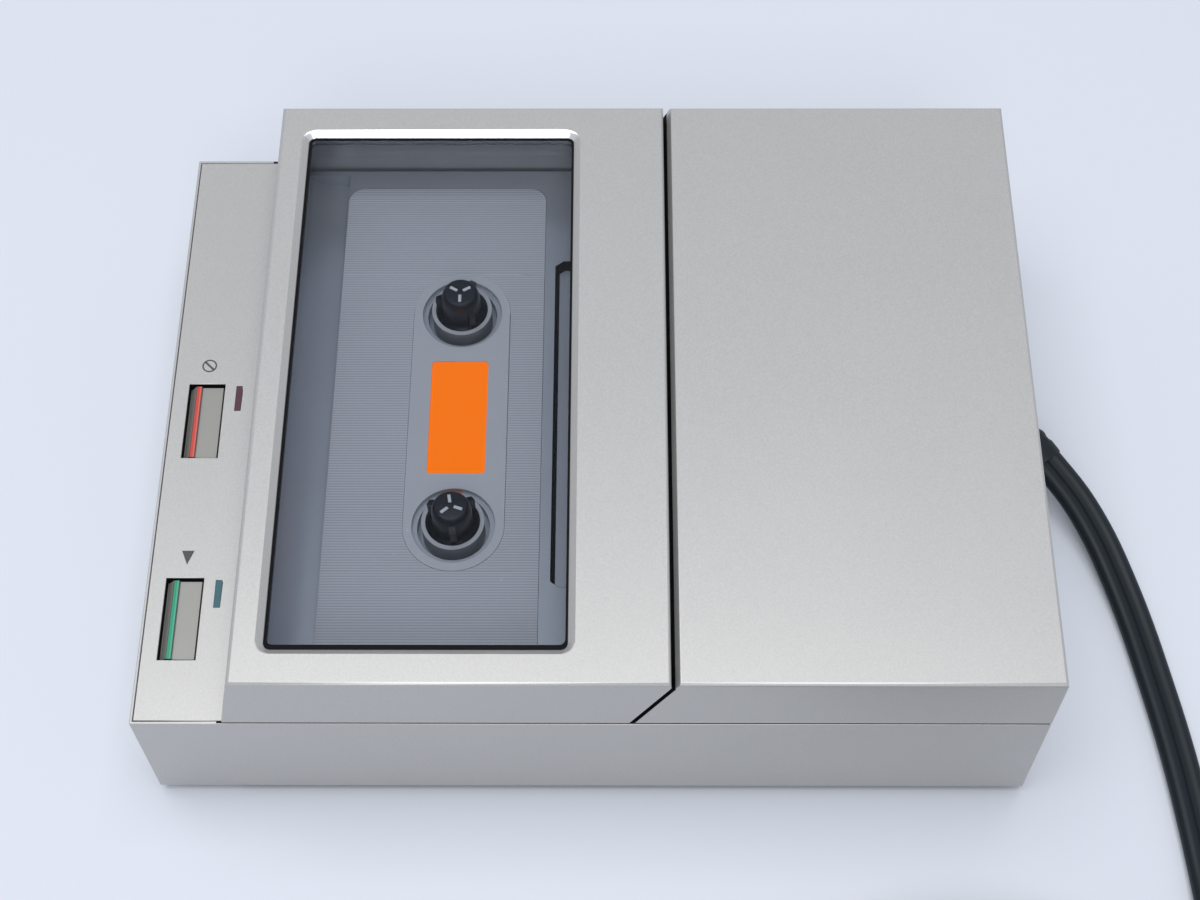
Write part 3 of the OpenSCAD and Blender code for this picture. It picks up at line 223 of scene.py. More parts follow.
def ribbedPlasticPaintedShade():
    # the colour of the ribs, in step with the ribs that cutRibs makes: painted shade in the grooves and painted
    # light on the crests
    paint = Paint("ribbedPlasticPaintedShade", IOR=1.5)
    ribs = (paint.axes()[0] + ribLook["pitch"] / 4 * mm).waves(ribLook["pitch"] * mm)
    worn = paint.noise(0.02, 3.0)
    grains = paint.noise(0.0006, 3.0, 0.6)
    paint.feed("Base Color", paint.mix(ribs ** 0.7 * 0.8 + worn * 0.2, ribLook["groove"], ribLook["litCrest"]))
    paint.feed("Roughness", 0.38 + worn * 0.1)
    paint.relief(grains, 0.000006, 0.5)
    return paint.material


paneLook = {"tint": (0.80, 0.817, 0.845), "mirror": (0.92, 0.95, 1.0), "sheen": 0.16, "haze": 0.006,
            "scuff": 0.13}


def smokedPane():
    # clear smoked sheet: what is behind it shows through the tint, with a mirror's share on top
    paint = Paint("smokedPane", paneLook["mirror"], Metallic=1.0, Roughness=0.07)
    smears = paint.noise(0.03, 3.0, 0.6)
    scuffs = (paint.noise(0.0011, 2.0) > 0.74) * (paint.noise(0.014, 1.0) > 0.58)
    sheen = paint.add("ShaderNodeFresnel", {}, {"IOR": 1.5})
    share = (sheen * paneLook["sheen"] + smears * paneLook["haze"] + scuffs * paneLook["scuff"]).limited()
    clear = paint.add("ShaderNodeBsdfTransparent", {}, {"Color": (*paneLook["tint"], 1)})
    both = paint.add("ShaderNodeMixShader", {}, {0: share, 1: clear, 2: Wire(paint, paint.shader.outputs[0])})
    paint.tree.links.new(both.socket, paint.tree.nodes["Material Output"].inputs[0])
    return paint.material


def laminate():
    # circuit board: brown sheet with faint copper tracks below the surface
    paint = Paint("laminate")
    tracks = (paint.axes()[0].waves(0.005) > 0.9) * (paint.noise(0.01, 1.0) > 0.5)
    paint.feed("Base Color", paint.mix(tracks, (0.22, 0.12, 0.035), (0.30, 0.17, 0.05)))
    paint.feed("Roughness", 0.42 + paint.noise(0.004) * 0.1)
    return paint.material


def windings():
    # wound wire under varnish
    paint = Paint("windings", Metallic=0.4)
    turns = paint.axes()[2].waves(0.0007)
    paint.feed("Base Color", paint.mix(turns, (0.12, 0.035, 0.012), (0.42, 0.16, 0.05)))
    paint.feed("Roughness", 0.32 + turns * 0.1)
    paint.relief(turns, 0.0001)
    return paint.material


def stackedSheets(name, colour, pitch=0.0007):
    # a core of stacked steel sheets
    paint = Paint(name, Metallic=0.6)
    sheets = paint.axes()[1].waves(pitch)
    rust = paint.noise(0.006, 4.0, 0.6)
    paint.feed("Base Color", paint.mix(sheets * 0.6 + rust * 0.4, tuple(c * 0.6 for c in colour), colour))
    paint.feed("Roughness", 0.45 + rust * 0.2)
    paint.relief(sheets, 0.00008)
    return paint.material


# height above which a spindle's collar is painted light, in millimetres; below it the wall is painted darker as
# the shade inside the well
collarLitAbove = 31.75


def collarWithShadedWall():
    # the spindle collars: a light rim over a darker wall, the wall's darker grey being painted shade
    paint = Paint("collarGreyPaintedShade")
    litRim = paint.axes()[2] > collarLitAbove * mm
    grains = paint.noise(0.0004, 3.0, 0.6)
    paint.feed("Base Color", paint.mix(litRim, (0.26, 0.265, 0.28), (0.60, 0.60, 0.59)))
    paint.feed("Roughness", 0.3 + (grains - 0.5) * 0.12)
    paint.relief(grains, 0.000005, 0.6)
    return paint.material


looks = {
    "silver": silverPaint(),
    "base": moulded("blackPaint", (0.035, 0.035, 0.038), 0.6, Metallic=0.2),
    "rubber": moulded("blackRubber", (0.018, 0.018, 0.018), 0.75, 0.0004, 0.00003),
    # bright, smooth metal for the far window bevel only: a painted highlight
    "farBevelHighlight": metal("highlightMetal", (0.80, 0.79, 0.77), 0.26, False),
    "steel": metal("zincSteel", (0.62, 0.62, 0.60), 0.32),
    "key": moulded("keyGrey", (0.32, 0.315, 0.29), 0.38, 0.0004, 0.000006, 0.06, Metallic=0.3),
    "red": inlayWithPaintedShade("redInlay", (0.58, 0.055, 0.04), (0.74, 0.115, 0.085)),
    "green": inlayWithPaintedShade("greenInlay", (0.012, 0.30, 0.16), (0.045, 0.42, 0.26)),
    "maroon": moulded("maroonLens", (0.08, 0.018, 0.032), 0.2, 0.0003, 0.000004, 0.25, Coat_Weight=0.5),
    "teal": moulded("tealLens", (0.032, 0.12, 0.145), 0.2, 0.0003, 0.000004, 0.25, Coat_Weight=0.5),
    "board": laminate(),
    "black": moulded("blackPlastic", (0.02, 0.02, 0.021), 0.45),
    "lamp": moulded("clearLamp", (0.7, 0.7, 0.66), 0.15, 0.0005, 0.000004, 0.04, Coat_Weight=0.5),
    "pane": smokedPane(),
    "deck": moulded("deckGrey", (0.47, 0.48, 0.50), 0.33, 0.0005, 0.00001, 0.06, Metallic=0.45),
    "ribbed": ribbedPlasticPaintedShade(),
    "surround": moulded("surroundGrey", (0.68, 0.68, 0.685), 0.36, 0.0005, 0.000008, 0.06),
    # the orange plate also glows with its own emission: painted light, as the plate is no lamp
    "orange": moulded("orangePlateGlow", (1.0, 0.24, 0.0), 0.4, 0.0004, 0.000005, 0.04,
                      Emission_Color=(1.0, 0.135, 0.0, 1), Emission_Strength=0.85, Specular_IOR_Level=0.0),
    # a muted orange for the painted reflection of the orange plate on the takeup well's ledge
    "paintedReflection": moulded("orangeReflectionPaint", (0.62, 0.17, 0.05), 0.5),
    # black for painted shade: the dark insides of gaps, seams and recesses
    "shadeBlack": moulded("paintedShadeBlack", (0.006, 0.006, 0.007), 0.7, Specular_IOR_Level=0.1),
    "collar": collarWithShadedWall(),
    "spindle": moulded("glossBlack", (0.007, 0.010, 0.013), 0.3, 0.0008, 0.000003, 0.1,
                       Specular_IOR_Level=0.35),
    "white": moulded("whiteMark", (0.82, 0.82, 0.82), 0.4, 0.0004, 0.000004, 0.03),
    "pulley": moulded("naturalPlastic", (0.68, 0.66, 0.58), 0.4),
    "felt": moulded("greenFelt", (0.1, 0.16, 0.07), 0.95, 0.0003, 0.0001, 0.25),
    "brass": metal("turnedBrass", (0.72, 0.5, 0.2), 0.25),
    "head": stackedSheets("headSteel", (0.5, 0.5, 0.48), 0.0004),
    "core": stackedSheets("coreIron", (0.2, 0.185, 0.17)),
    "copper": windings(),
    "part": moulded("partBlue", (0.03, 0.045, 0.13), 0.4),
    "cord": moulded("cordBlack", (0.004, 0.009, 0.013), 0.45, 0.0005, 0.000008, 0.12, Specular_IOR_Level=0.3),
    "dark": moulded("darkInside", (0.40, 0.41, 0.43), 0.5),
    "ink": moulded("labelInk", (0.07, 0.07, 0.072), 0.6, 0.0003, 0.000003, 0.2),
}
print("finishes made:", len(looks))


def linked(name, mesh, look, body="base"):
    piece = bpy.data.objects.new(name, mesh)
    scene.collection.objects.link(piece)
    mesh.materials.clear()
    mesh.materials.append(looks[look])
    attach(piece, body)
    return piece


def fromBmesh(name, bm, look, body="base", angle=35):
    mesh = bpy.data.meshes.new(name)
    bm.to_mesh(mesh)
    bm.free()
    mesh.shade_smooth()
    mesh.set_sharp_from_angle(angle=radians(angle))
    return linked(name, mesh, look, body)


def softened(node, look, body="base", slot=None, width=0.12, rounds=2, pick=None, angle=25, planes=(),
             areas=None):
    # the CAD node's own shape with its long sharp edges rounded and its faces split along the planes;
    # areas gives another look to the faces that its test(centre, normal) picks
    bm = bmesh.new()
    bm.from_mesh(nodes[node].data)
    bmesh.ops.remove_doubles(bm, verts=bm.verts, dist=2e-6)
    bmesh.ops.dissolve_limit(bm, angle_limit=radians(0.5), verts=bm.verts, edges=bm.edges)
    chosen = [e for e in bm.edges if len(e.link_faces) == 2 and e.calc_face_angle(0) > radians(angle)
              and e.calc_length() > 1.5 * mm and (pick is None or pick(e.verts[0].co / mm, e.verts[1].co / mm))]
    bmesh.ops.bevel(bm, geom=chosen, offset=width * mm, offset_type="OFFSET", segments=rounds, profile=0.5,
                    affect="EDGES", clamp_overlap=False)
    for point, normal in planes:
        bmesh.ops.bisect_plane(bm, geom=bm.verts[:] + bm.edges[:] + bm.faces[:], dist=1e-6,
                               plane_co=Vector(point) * mm, plane_no=normal)
    piece = fromBmesh(node.replace("_", "-") + "-soft", bm, look, body, 30)
    for index, (other, test) in enumerate((areas or {}).items(), 1):
        piece.data.materials.append(looks[other])
        for face in piece.data.polygons:
            if test(face.center / mm, face.normal):
                face.material_index = index
    modifier = piece.modifiers.new("weighted", "WEIGHTED_NORMAL")
    modifier.keep_sharp = True
    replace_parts(piece, node)
    return piece


# mains lead, in millimetres: the source's route, up to 0.2 mm nearer the case where it turns on edge
lead = {
    "route": [(-4, 83, 8, 0), (2.5, 88, 6, 0), (10, 92, 4, 0), (18.5, 95, 2.5, 0), (27, 97.2, 1.8, 0),
              (36, 98.9, 1.6, 0), (45, 100.4, 1.6, 0), (54, 101.6, 1.6, 0), (63, 102.5, 1.6, 0),
              (72, 103.2, 1.6, 0), (81, 103.55, 2, 15), (90, 103.8, 2.5, 35), (99, 103.84, 2.9, 55),
              (108, 103.9, 3.1, 75), (117, 104, 3.15, 90), (127, 104, 3.15, 90)],
    "width": 6.2, "thick": 3.1, "centre": (127, 62), "radius": 42, "step": 3.6, "rise": 6.7,
    "inward": 3.5, "outward": 3.75, "gland": (-14, 63.05, 12), "bend": 25, "turn": 53, "fall": 4,
}


# the boot round the lead, in millimetres, with the shares of its length between which it has grooves
bootShape = {"rows": 44, "end": (3.35, 1.9), "swell": (1.85, 1.9), "groove": 0.2, "grooved": (0.42, 0.9),
             "bands": 22, "discs": ((3.5, 2.1, 0.45), (5, 2, 2.5))}


def inBoot(share):
    # a centre point of the curve inside the boot, with its roll
    x, y, z = lead["gland"]
    a = radians(lead["turn"] * share)
    return x + lead["bend"] * (1 - cos(a)), y + lead["bend"] * sin(a), z - lead["fall"] * share ** 2, 0


def leadLine():
    # centre points with the roll of the flat section
    rows = [inBoot(i / 10) for i in range(10)]
    route = [rows[-1]] + list(lead["route"]) + [(136, 103, 3.15, 90)]
    for i in range(1, len(route) - 2):
        for k in range(4):
            t = k / 4
            p0, p1, p2, p3 = route[i - 1:i + 3]
            rows.append(tuple(0.5 * (2 * b + (c - a) * t + (2 * a - 5 * b + 4 * c - d) * t * t
                                     + (3 * b - a - 3 * c + d) * t ** 3) for a, b, c, d in zip(p0, p1, p2, p3)))
    turns = lead["inward"] + lead["outward"]
    count = int(turns * 48)
    for i in range(count + 1):
        t = i / 48
        out = t if t < lead["inward"] else 2 * lead["inward"] - t
        r = lead["radius"] - lead["step"] * out
        z = 3.15 + lead["rise"] * max(0, min(1, (t - lead["inward"] + 0.25) * 2))
        a = 2 * pi * t
        rows.append((lead["centre"][0] + r * sin(a), lead["centre"][1] + r * cos(a), z, 90))
    x, y, z, roll = rows[-1]
    rows.append((x, y - lead["width"], z, 90))
    return rows


def sweep(rows, outline):
    # a closed tube through the rows, each with its own roll; outline(share) gives the section
    bm = bmesh.new()
    points = [Vector(r[:3]) for r in rows]
    rings = []
    for i, row in enumerate(rows):
        ahead = (points[min(i + 1, len(rows) - 1)] - points[max(i - 1, 0)]).normalized()
        side = ahead.cross(Vector((0, 0, 1))).normalized()
        up = side.cross(ahead)
        c, s = cos(radians(row[3])), sin(radians(row[3]))
        rings.append([bm.verts.new((points[i] + side * (a * c - b * s) + up * (a * s + b * c)) * mm)
                      for a, b in outline(i / (len(rows) - 1))])
    for low, high in zip(rings, rings[1:]):
        for j in range(len(low)):
            k = (j + 1) % len(low)
            bm.faces.new((low[j], low[k], high[k], high[j]))
    bm.faces.new(rings[0])
    bm.faces.new(rings[-1])
    bmesh.ops.recalc_face_normals(bm, faces=bm.faces)
    return bm


def twinSection(share):
    # two round cores with a shallow groove between them
    r, off = lead["thick"] / 2, (lead["width"] - lead["thick"]) / 2
    left = [(-off + r * cos(radians(a)), r * sin(radians(a))) for a in range(50, 311, 26)]
    right = [(off + r * cos(radians(a)), r * sin(radians(a))) for a in range(230, 491, 26)]
    return left + [(0, -r * 0.55)] + right + [(0, r * 0.55)]


def bootSection(share):
    # an oval that tapers from the case outwards, with grooves round its outer part
    first, last = bootShape["grooved"]
    groove = bootShape["groove"] if first < share < last and int(share * bootShape["bands"]) % 2 else 0
    w, h = (end + swell * (1 - share) ** 2 - groove for end, swell in zip(bootShape["end"], bootShape["swell"]))
    return [(w * cos(radians(a)), h * sin(radians(a))) for a in range(0, 360, 15)]


def makeLead():
    rows = leadLine()
    cable = fromBmesh("mains-lead", sweep(rows, twinSection), "cord", angle=60)
    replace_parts(cable, "mains_cord", "cord_coil")
    boot = fromBmesh("lead-boot", sweep([inBoot(i / bootShape["rows"]) for i in range(bootShape["rows"] + 1)],
                                        bootSection), "cord", angle=50)
    x, y, z = lead["gland"]
    gland = bmesh.new()
    for radius, depth, back in bootShape["discs"]:
        bmesh.ops.create_cone(gland, cap_ends=True, segments=32, radius1=radius * mm, radius2=radius * mm,
                              depth=depth * mm, matrix=Matrix.Translation((x * mm, (y - back) * mm, z * mm))
                              @ Matrix.Rotation(pi / 2, 4, "X"))
    fromBmesh("lead-gland", gland, "cord")
    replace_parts(boot, "strain_relief")
    plug = softened("plug_body", "cord", slot="cord_black", width=0.5, rounds=2, angle=50,
                    pick=lambda a, b: (a - b).length > 4)


makeLead()


# outer shells, their long edges rounded, and the leaning front face of the rear cover
caseEdges = {"width": 0.16, "rounds": 3}
coverLean = {"edge": 87.9, "lean": 7 / 15.1}


def coverFace(z):
    return fromFront(coverLean["edge"]) - coverLean["lean"] * (caseTop - z)


def upperEdges(a, b):
    return (a - b).length > 8 and (a.z > 43.5 or b.z > 43.5 or (abs(a.x) > 56 and abs(b.x) > 56))


def rimTop(c, n):
    return c.z > 29.05 and n.z > 0.9


# on the lower case, the inner faces and the rim's top under the lid and the rear cover are painted black as the
# shade in the seam
softened("lower_case", "silver", slot="silver_paint", **caseEdges,
         pick=lambda a, b: (a - b).length > 10 and min(a.z, b.z) > 1.9 and (
             (abs(a.x) > 56 and abs(b.x) > 56) or (abs(a.y) > 73 and abs(b.y) > 73)),
         planes=[((56.4, 0, 0), (1, 0, 0)), ((-56.4, 0, 0), (1, 0, 0)), ((0, 73.54, 0), (0, 1, 0)),
                 ((0, fromFront(14), 0), (0, 1, 0))],
         areas={"shadeBlack": lambda c, n: (abs(c.x) < 54.5 and abs(c.y) < 71.5 and not rimTop(c, n)) or (
             rimTop(c, n) and abs(c.x) < 56.4 and fromFront(14) < c.y < 73.54)})
softened("lid_frame", "silver", "lid", "silver_paint", **caseEdges, pick=upperEdges,
         areas={"dark": lambda c, n: abs(c.x) < 53.9 and 29.75 < c.z < 42.6 and c.y > fromFront(16),
                # the lid's tail face, painted black as the shade in the gap to the rear cover
                "shadeBlack": lambda c, n: n.y > 0.3 and c.z < 44.2 and c.y > fromFront(76),
                # the far window bevel alone gets the bright metal, as a painted highlight
                "farBevelHighlight": lambda c, n: 43.75 < c.z < 44.79 and n.x > 0.3 and n.z > 0.2 and c.x < -45})
softened("rear_cover", "silver", slot="silver_paint", **caseEdges, pick=upperEdges,
         planes=[((0, 0, 43.2), (0, 0, 1))],
         areas={"dark": lambda c, n: abs(c.x) < 54.2 and c.z < 42.5 and coverFace(c.z) + 0.5 < c.y < 71.4,
                # the leaning front face below the split is painted black as the shade in the gap to the lid
                "shadeBlack": lambda c, n: n.y < -0.5 and c.z < 43.2 and c.y < coverFace(c.z) + 0.5})
# the control panel's faces below its top are painted black as the shade in the seam round it
softened("control_panel", "silver", slot="silver_paint", width=0.1, rounds=2,
         pick=lambda a, b: (a - b).length > 4 and min(a.z, b.z) > 29, areas={"shadeBlack": lambda c, n: c.z < 28.9})
print("shells made")


def cutRibs(piece):
    # fine straight ribs across the plate: its top is split every half pitch and every other line is lowered
    bm, half = bmesh.new(), ribLook["pitch"] / 2 * mm
    bm.from_mesh(piece.data)
    count = int(ribLook["span"] / (ribLook["pitch"] / 2))
    for k in range(-count, count + 1):
        bmesh.ops.bisect_plane(bm, geom=bm.verts[:] + bm.edges[:] + bm.faces[:], dist=1e-7,
                               plane_co=(k * half, 0, 0), plane_no=(1, 0, 0))
    for v in bm.verts:
        line = round(v.co.x / half)
        if v.co.z > (plateTop - 0.01) * mm and line % 2 and abs(v.co.x - line * half) < 1e-6:
            v.co.z -= ribLook["depth"] * mm
    bm.to_mesh(piece.data)
    bm.free()
    piece.data.set_sharp_from_angle(angle=radians(12))


# plates in the cassette bay and the key caps, their top edges rounded
cutRibs(softened("ribbed_plate", "ribbed", slot="ribbed_grey", width=0.14, rounds=2,
                 pick=lambda a, b: min(a.z, b.z) > 30.3 and (a - b).length > 0.2))
softened("hub_surround", "surround", slot="collar_grey", width=0.14, rounds=2,
         pick=lambda a, b: min(a.z, b.z) > 30.3)
softened("backing_plate", "orange", slot="orange_plate", width=0.1, rounds=2,
         pick=lambda a, b: min(a.z, b.z) > 30.3)
# each key cap's faces towards the near side are painted black as the shade in the gap round the key
for key in ("erase", "start"):
    softened(key + "_button", "key", key + "_key", "key_grey", width=0.1, rounds=2,
             pick=lambda a, b: min(a.z, b.z) > 26.5, areas={"shadeBlack": lambda c, n: n.x > 0.3})
print("plates and key caps made")


def turnedProfile(bm, points, sides=48):
    # a closed body of rotation from (radius, height) points, on the z axis
    rings = [[bm.verts.new((r * cos(2 * pi * k / sides), r * sin(2 * pi * k / sides), z)) for k in range(sides)]
             for r, z in points]
    for low, high in zip(rings, rings[1:]):
        for k in range(sides):
            n = (k + 1) % sides
            bm.faces.new((low[k], low[n], high[n], high[k]))
    bm.faces.new(rings[0][::-1])
    bm.faces.new(rings[-1])


# the drive spindles: a foot, a waist and a blunt nose with three fins and three marks, in millimetres
spindleShape = {
    "foot": 28.4, "top": 37.4, "footRadius": 4.3, "core": 3.4, "nose": 2.4, "fin": 4.45, "finWidth": 1.05,
    "markFrom": 0.6, "markTo": 2.05, "markWidth": 0.52,
    "hubs": {"supply": (-hubAway, 30, 0), "takeup": (hubAway, 5, 70)},
}


def makeSpindle(side):
    d = spindleShape
    x, finTurn, markTurn = d["hubs"][side]
    y, low, rise = fromFront(hubFromFront), d["foot"], d["top"] - d["foot"]
    toHub = Matrix.Translation((x * mm, y * mm, low * mm)) @ Matrix.Scale(mm, 4)
    bm = bmesh.new()
    nose = [(d["core"] - (d["core"] - d["nose"]) * (1 - cos(radians(a))), rise - 2.3 + 2.3 * sin(radians(a)))
            for a in range(0, 91, 10)]
    turnedProfile(bm, [(d["footRadius"] - 0.25, 0), (d["footRadius"], 0.25), (d["footRadius"], 2.7),
                       (d["footRadius"] - 0.3, 3.0), (d["core"] + 0.35, 3.15), (d["core"] + 0.05, 3.7),
                       (d["core"], 4.6)] + nose)
    for k in range(3):
        # a fin: a thin plate with a rounded outer edge and a sloping shoulder
        half = d["finWidth"] / 2
        outline = [(2.2, 2.9), (4.15, 2.9), (4.25, 3.8), (d["fin"], rise - 2.2), (2.4, rise - 0.7)]
        plate = bmesh.new()
        front = [plate.verts.new((a, -half, b)) for a, b in outline]
        back = [plate.verts.new((a, half, b)) for a, b in outline]
        plate.faces.new(front)
        plate.faces.new(back[::-1])
        for i in range(len(outline)):
            n = (i + 1) % len(outline)
            plate.faces.new((front[n], front[i], back[i], back[n]))
        bmesh.ops.bevel(plate, geom=[e for e in plate.edges if min(v.co.x for v in e.verts) > 3], offset=0.16,
                        segments=3, profile=0.5, affect="EDGES")
        bmesh.ops.rotate(plate, cent=(0, 0, 0), matrix=Matrix.Rotation(radians(finTurn + 120 * k), 3, "Z"),
                         verts=plate.verts)
        bmesh.ops.recalc_face_normals(plate, faces=plate.faces)
        shape = bpy.data.meshes.new("fin")
        plate.to_mesh(shape)
        plate.free()
        bm.from_mesh(shape)
        bpy.data.meshes.remove(shape)
    bmesh.ops.transform(bm, matrix=toHub, verts=bm.verts)
    piece = fromBmesh(side + "-drive-spindle", bm, "spindle", side + "_hub", 40)
    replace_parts(piece, side + "_spindle")
    marks = bmesh.new()
    long = d["markTo"] - d["markFrom"]
    for k in range(3):
        bar = bmesh.ops.create_cube(marks, size=1.0)["verts"]
        bmesh.ops.scale(marks, vec=(long, d["markWidth"], 0.2), verts=bar)
        bmesh.ops.translate(marks, vec=(d["markFrom"] + long / 2, 0, rise + 0.06), verts=bar)
        bmesh.ops.rotate(marks, cent=(0, 0, 0), matrix=Matrix.Rotation(radians(markTurn + 120 * k), 3, "Z"),
                         verts=bar)
    bmesh.ops.bevel(marks, geom=[e for e in marks.edges if min(v.co.z for v in e.verts) > rise], offset=0.05,
                    segments=2, profile=0.5, affect="EDGES")
    bmesh.ops.transform(marks, matrix=toHub, verts=marks.verts)
    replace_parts(fromBmesh(side + "-marks", marks, "white", side + "_hub"), side + "_cap")


for side in spindleShape["hubs"]:
    makeSpindle(side)
print("spindles made")

# a thin orange sheet on the ledge of the takeup well, towards the orange plate: a painted reflection of the
# orange plate
orangeReflectionShape = {"inner": 6.3, "outer": 7.0, "half": 14, "thick": 0.06, "middle": 184, "below": 0.8}


def makeOrangeReflection():
    d, rows, bm = orangeReflectionShape, [], bmesh.new()
    low, y = plateTop - d["below"], fromFront(hubFromFront)
    edges = [(r, low + up) for up, pair in ((0, ("inner", "outer")), (d["thick"], ("outer", "inner")))
             for r in (d[name] for name in pair)]
    for k in range(13):
        a = radians(d["middle"] + d["half"] * (k / 6 - 1))
        rows.append([bm.verts.new(((hubAway + r * cos(a)) * mm, (y + r * sin(a)) * mm, z * mm))
                     for r, z in edges])
    for one, two in zip(rows, rows[1:]):
        for i in range(4):
            n = (i + 1) % 4
            bm.faces.new((one[i], one[n], two[n], two[i]))
    bm.faces.new(rows[0][::-1])
    bm.faces.new(rows[-1])
    bmesh.ops.recalc_face_normals(bm, faces=bm.faces)
    fromBmesh("painted-orange-reflection", bm, "paintedReflection")


makeOrangeReflection()


def band(bm, outer, inner, low, high, closed=False):
    # a flat strip between two lines of points, from low to high, in millimetres
    rows = [[bm.verts.new((x * mm, y * mm, z * mm)) for (x, y), z in ((a, low), (b, low), (b, high), (a, high))]
            for a, b in zip(outer, inner)]
    for one, two in zip(rows, rows[1:] + rows[:1] if closed else rows[1:]):
        for i in range(4):
            n = (i + 1) % 4
            bm.faces.new((one[i], one[n], two[n], two[i]))
    if not closed:
        bm.faces.new(rows[0][::-1])
        bm.faces.new(rows[-1])
    bmesh.ops.recalc_face_normals(bm, faces=bm.faces)


# black sheet in the recess behind the ribbed plate, along its front wall and its ends: painted shade of the
# recess, in millimetres
stepShadeShape = {"half": 63.4 / 2, "flare": 1.1, "corner": 1.5, "front": 67.1, "rear": 88.0, "floor": 28.42,
             "top": 30.34, "line": 0.75, "thick": 0.05}


def stepShadeLine(by):
    d = stepShadeShape
    far, near = d["half"] + d["flare"] - by, fromFront(d["front"])
    left = [(-far, fromFront(d["rear"])), (-far, near + d["corner"] + by * 0.4),
            (by * 0.4 - d["half"], near + by)]
    return left + [(-x, y) for x, y in reversed(left)]


def makeStepShade():
    d, bm = stepShadeShape, bmesh.new()
    floor = d["floor"] + d["thick"]
    band(bm, stepShadeLine(0.02), stepShadeLine(d["line"]), d["floor"], floor)
    band(bm, stepShadeLine(0.02), stepShadeLine(0.02 + d["thick"]), floor, d["top"])
    fromBmesh("step-shade", bm, "shadeBlack")


makeStepShade()

# black band round the pane, between it and the window's opening: painted shade of the gap, in millimetres
paneGapShadeShape = {"half": (50.15, 23.7), "middle": 23.05 + 23.7, "corner": 1.0, "low": 43.4, "high": 43.84,
             "far": 0.2, "near": 0.8, "left": 0.42, "right": 0.35}


def roundedLine(x0, x1, y0, y1, r):
    corners = ((x1 - r, y1 - r, 0), (x0 + r, y1 - r, 90), (x0 + r, y0 + r, 180), (x1 - r, y0 + r, 270))
    return [(x + r * cos(radians(a + k * 15)), y + r * sin(radians(a + k * 15)))
            for x, y, a in corners for k in range(7)]


def makePaneGapShade():
    d, bm = paneGapShadeShape, bmesh.new()
    (a, b), y = d["half"], fromFront(d["middle"])
    band(bm, roundedLine(0.02 - a, a - 0.02, y - b + 0.02, y + b - 0.02, d["corner"]),
         roundedLine(d["far"] - a, a - d["near"], y - b + d["left"], y + b - d["right"], d["corner"]),
         d["low"], d["high"], True)
    fromBmesh("pane-gap-shade", bm, "shadeBlack", "lid")


makePaneGapShade()

# black strip on the case's rim, under the lid and the rear cover: painted shade of the seam, in millimetres
seamShadeShape = {"outer": 0.25, "inner": 0.6, "front": 16, "low": 29.12, "high": 29.5}


def seamShadeLine(by):
    x, y = caseHalf - by, caseDepth / 2 - by
    return [(x, fromFront(seamShadeShape["front"])), (x, y), (-x, y), (-x, fromFront(seamShadeShape["front"]))]


def makeSeamShade():
    d, bm = seamShadeShape, bmesh.new()
    band(bm, seamShadeLine(d["outer"]), seamShadeLine(d["inner"]), d["low"], d["high"])
    fromBmesh("rim-seam-shade", bm, "shadeBlack")


makeSeamShade()

# small generic signs beside the keys, where the labels are: a struck ring and a pointer, in millimetres
signShape = {"height": 2.6, "line": 0.26, "thick": 0.03, "away": 11.2, "apart": 37.9, "front": 6.4}


def flatShape(bm, outline, at):
    # a thin printed shape on the control strip
    low, high = ([bm.verts.new(((at[0] + a) * mm, (at[1] + b) * mm, (stripTop + rise) * mm))
                  for a, b in outline] for rise in (-0.01, signShape["thick"]))
    for i in range(len(outline)):
        n = (i + 1) % len(outline)
        bm.faces.new((low[i], low[n], high[n], high[i]))
    bm.faces.new(high)
    bm.faces.new(low[::-1])


def makeSigns():
    bm = bmesh.new()
    r, t, y = signShape["height"] / 2, signShape["line"], fromFront(signShape["front"])
    at = (-signShape["away"], y)
    for k in range(28):
        a, b = 2 * pi * k / 28, 2 * pi * (k + 1) / 28
        flatShape(bm, [(r * cos(a), r * sin(a)), (r * cos(b), r * sin(b)),
                       ((r - t) * cos(b), (r - t) * sin(b)), ((r - t) * cos(a), (r - t) * sin(a))], at)
    c = r * 0.7
    flatShape(bm, [(-c, -c + t), (-c + t, -c), (c, c - t), (c - t, c)], at)
    at = (signShape["apart"] - signShape["away"], y)
    flatShape(bm, [(-r, -r * 0.8), (r, 0), (-r, r * 0.8)], at)
    fromBmesh("key-signs", bm, "ink")


makeSigns()
print("small pieces made")


# finishes for all the CAD nodes, also those that a piece replaces
nodeLooks = {
    "silver": ["lower_case", "lid_frame", "rear_cover", "control_panel"],
    "cord": ["strain_relief", "mains_cord", "cord_coil", "plug_body"],
    "base": ["bottom_plate"],
    "rubber": ["rubber_feet", "lid_bumpers", "drive_belt", "window_seal"],
    "steel": ["case_screws", "erase_spring", "start_spring", "hinge_brackets", "hinge_pins", "supply_shaft",
              "takeup_shaft", "chassis_plate", "chassis_screws", "drive_motor", "motor_screws", "motor_shaft",
              "head_bracket", "head_screws", "transformer_screws"],
    "key": ["erase_button", "start_button"],
    "red": ["erase_stripe"], "green": ["start_stripe"], "maroon": ["erase_lens"], "teal": ["start_lens"],
    "board": ["switch_board", "main_board"], "black": ["push_switches"], "lamp": ["indicator_lamps"],
    "pane": ["lid_window"], "deck": ["deck"], "ribbed": ["ribbed_plate"], "surround": ["hub_surround"],
    "orange": ["backing_plate"], "collar": ["supply_bushing", "takeup_bushing"],
    "spindle": ["supply_spindle", "takeup_spindle"], "white": ["supply_cap", "takeup_cap"],
    "pulley": ["supply_drum", "takeup_pulley"], "felt": ["felt_brake"],
    "brass": ["motor_pulley", "plug_blades"], "head": ["erase_head"], "core": ["transformer_core"],
    "copper": ["transformer_coil"], "part": ["board_parts"],
}
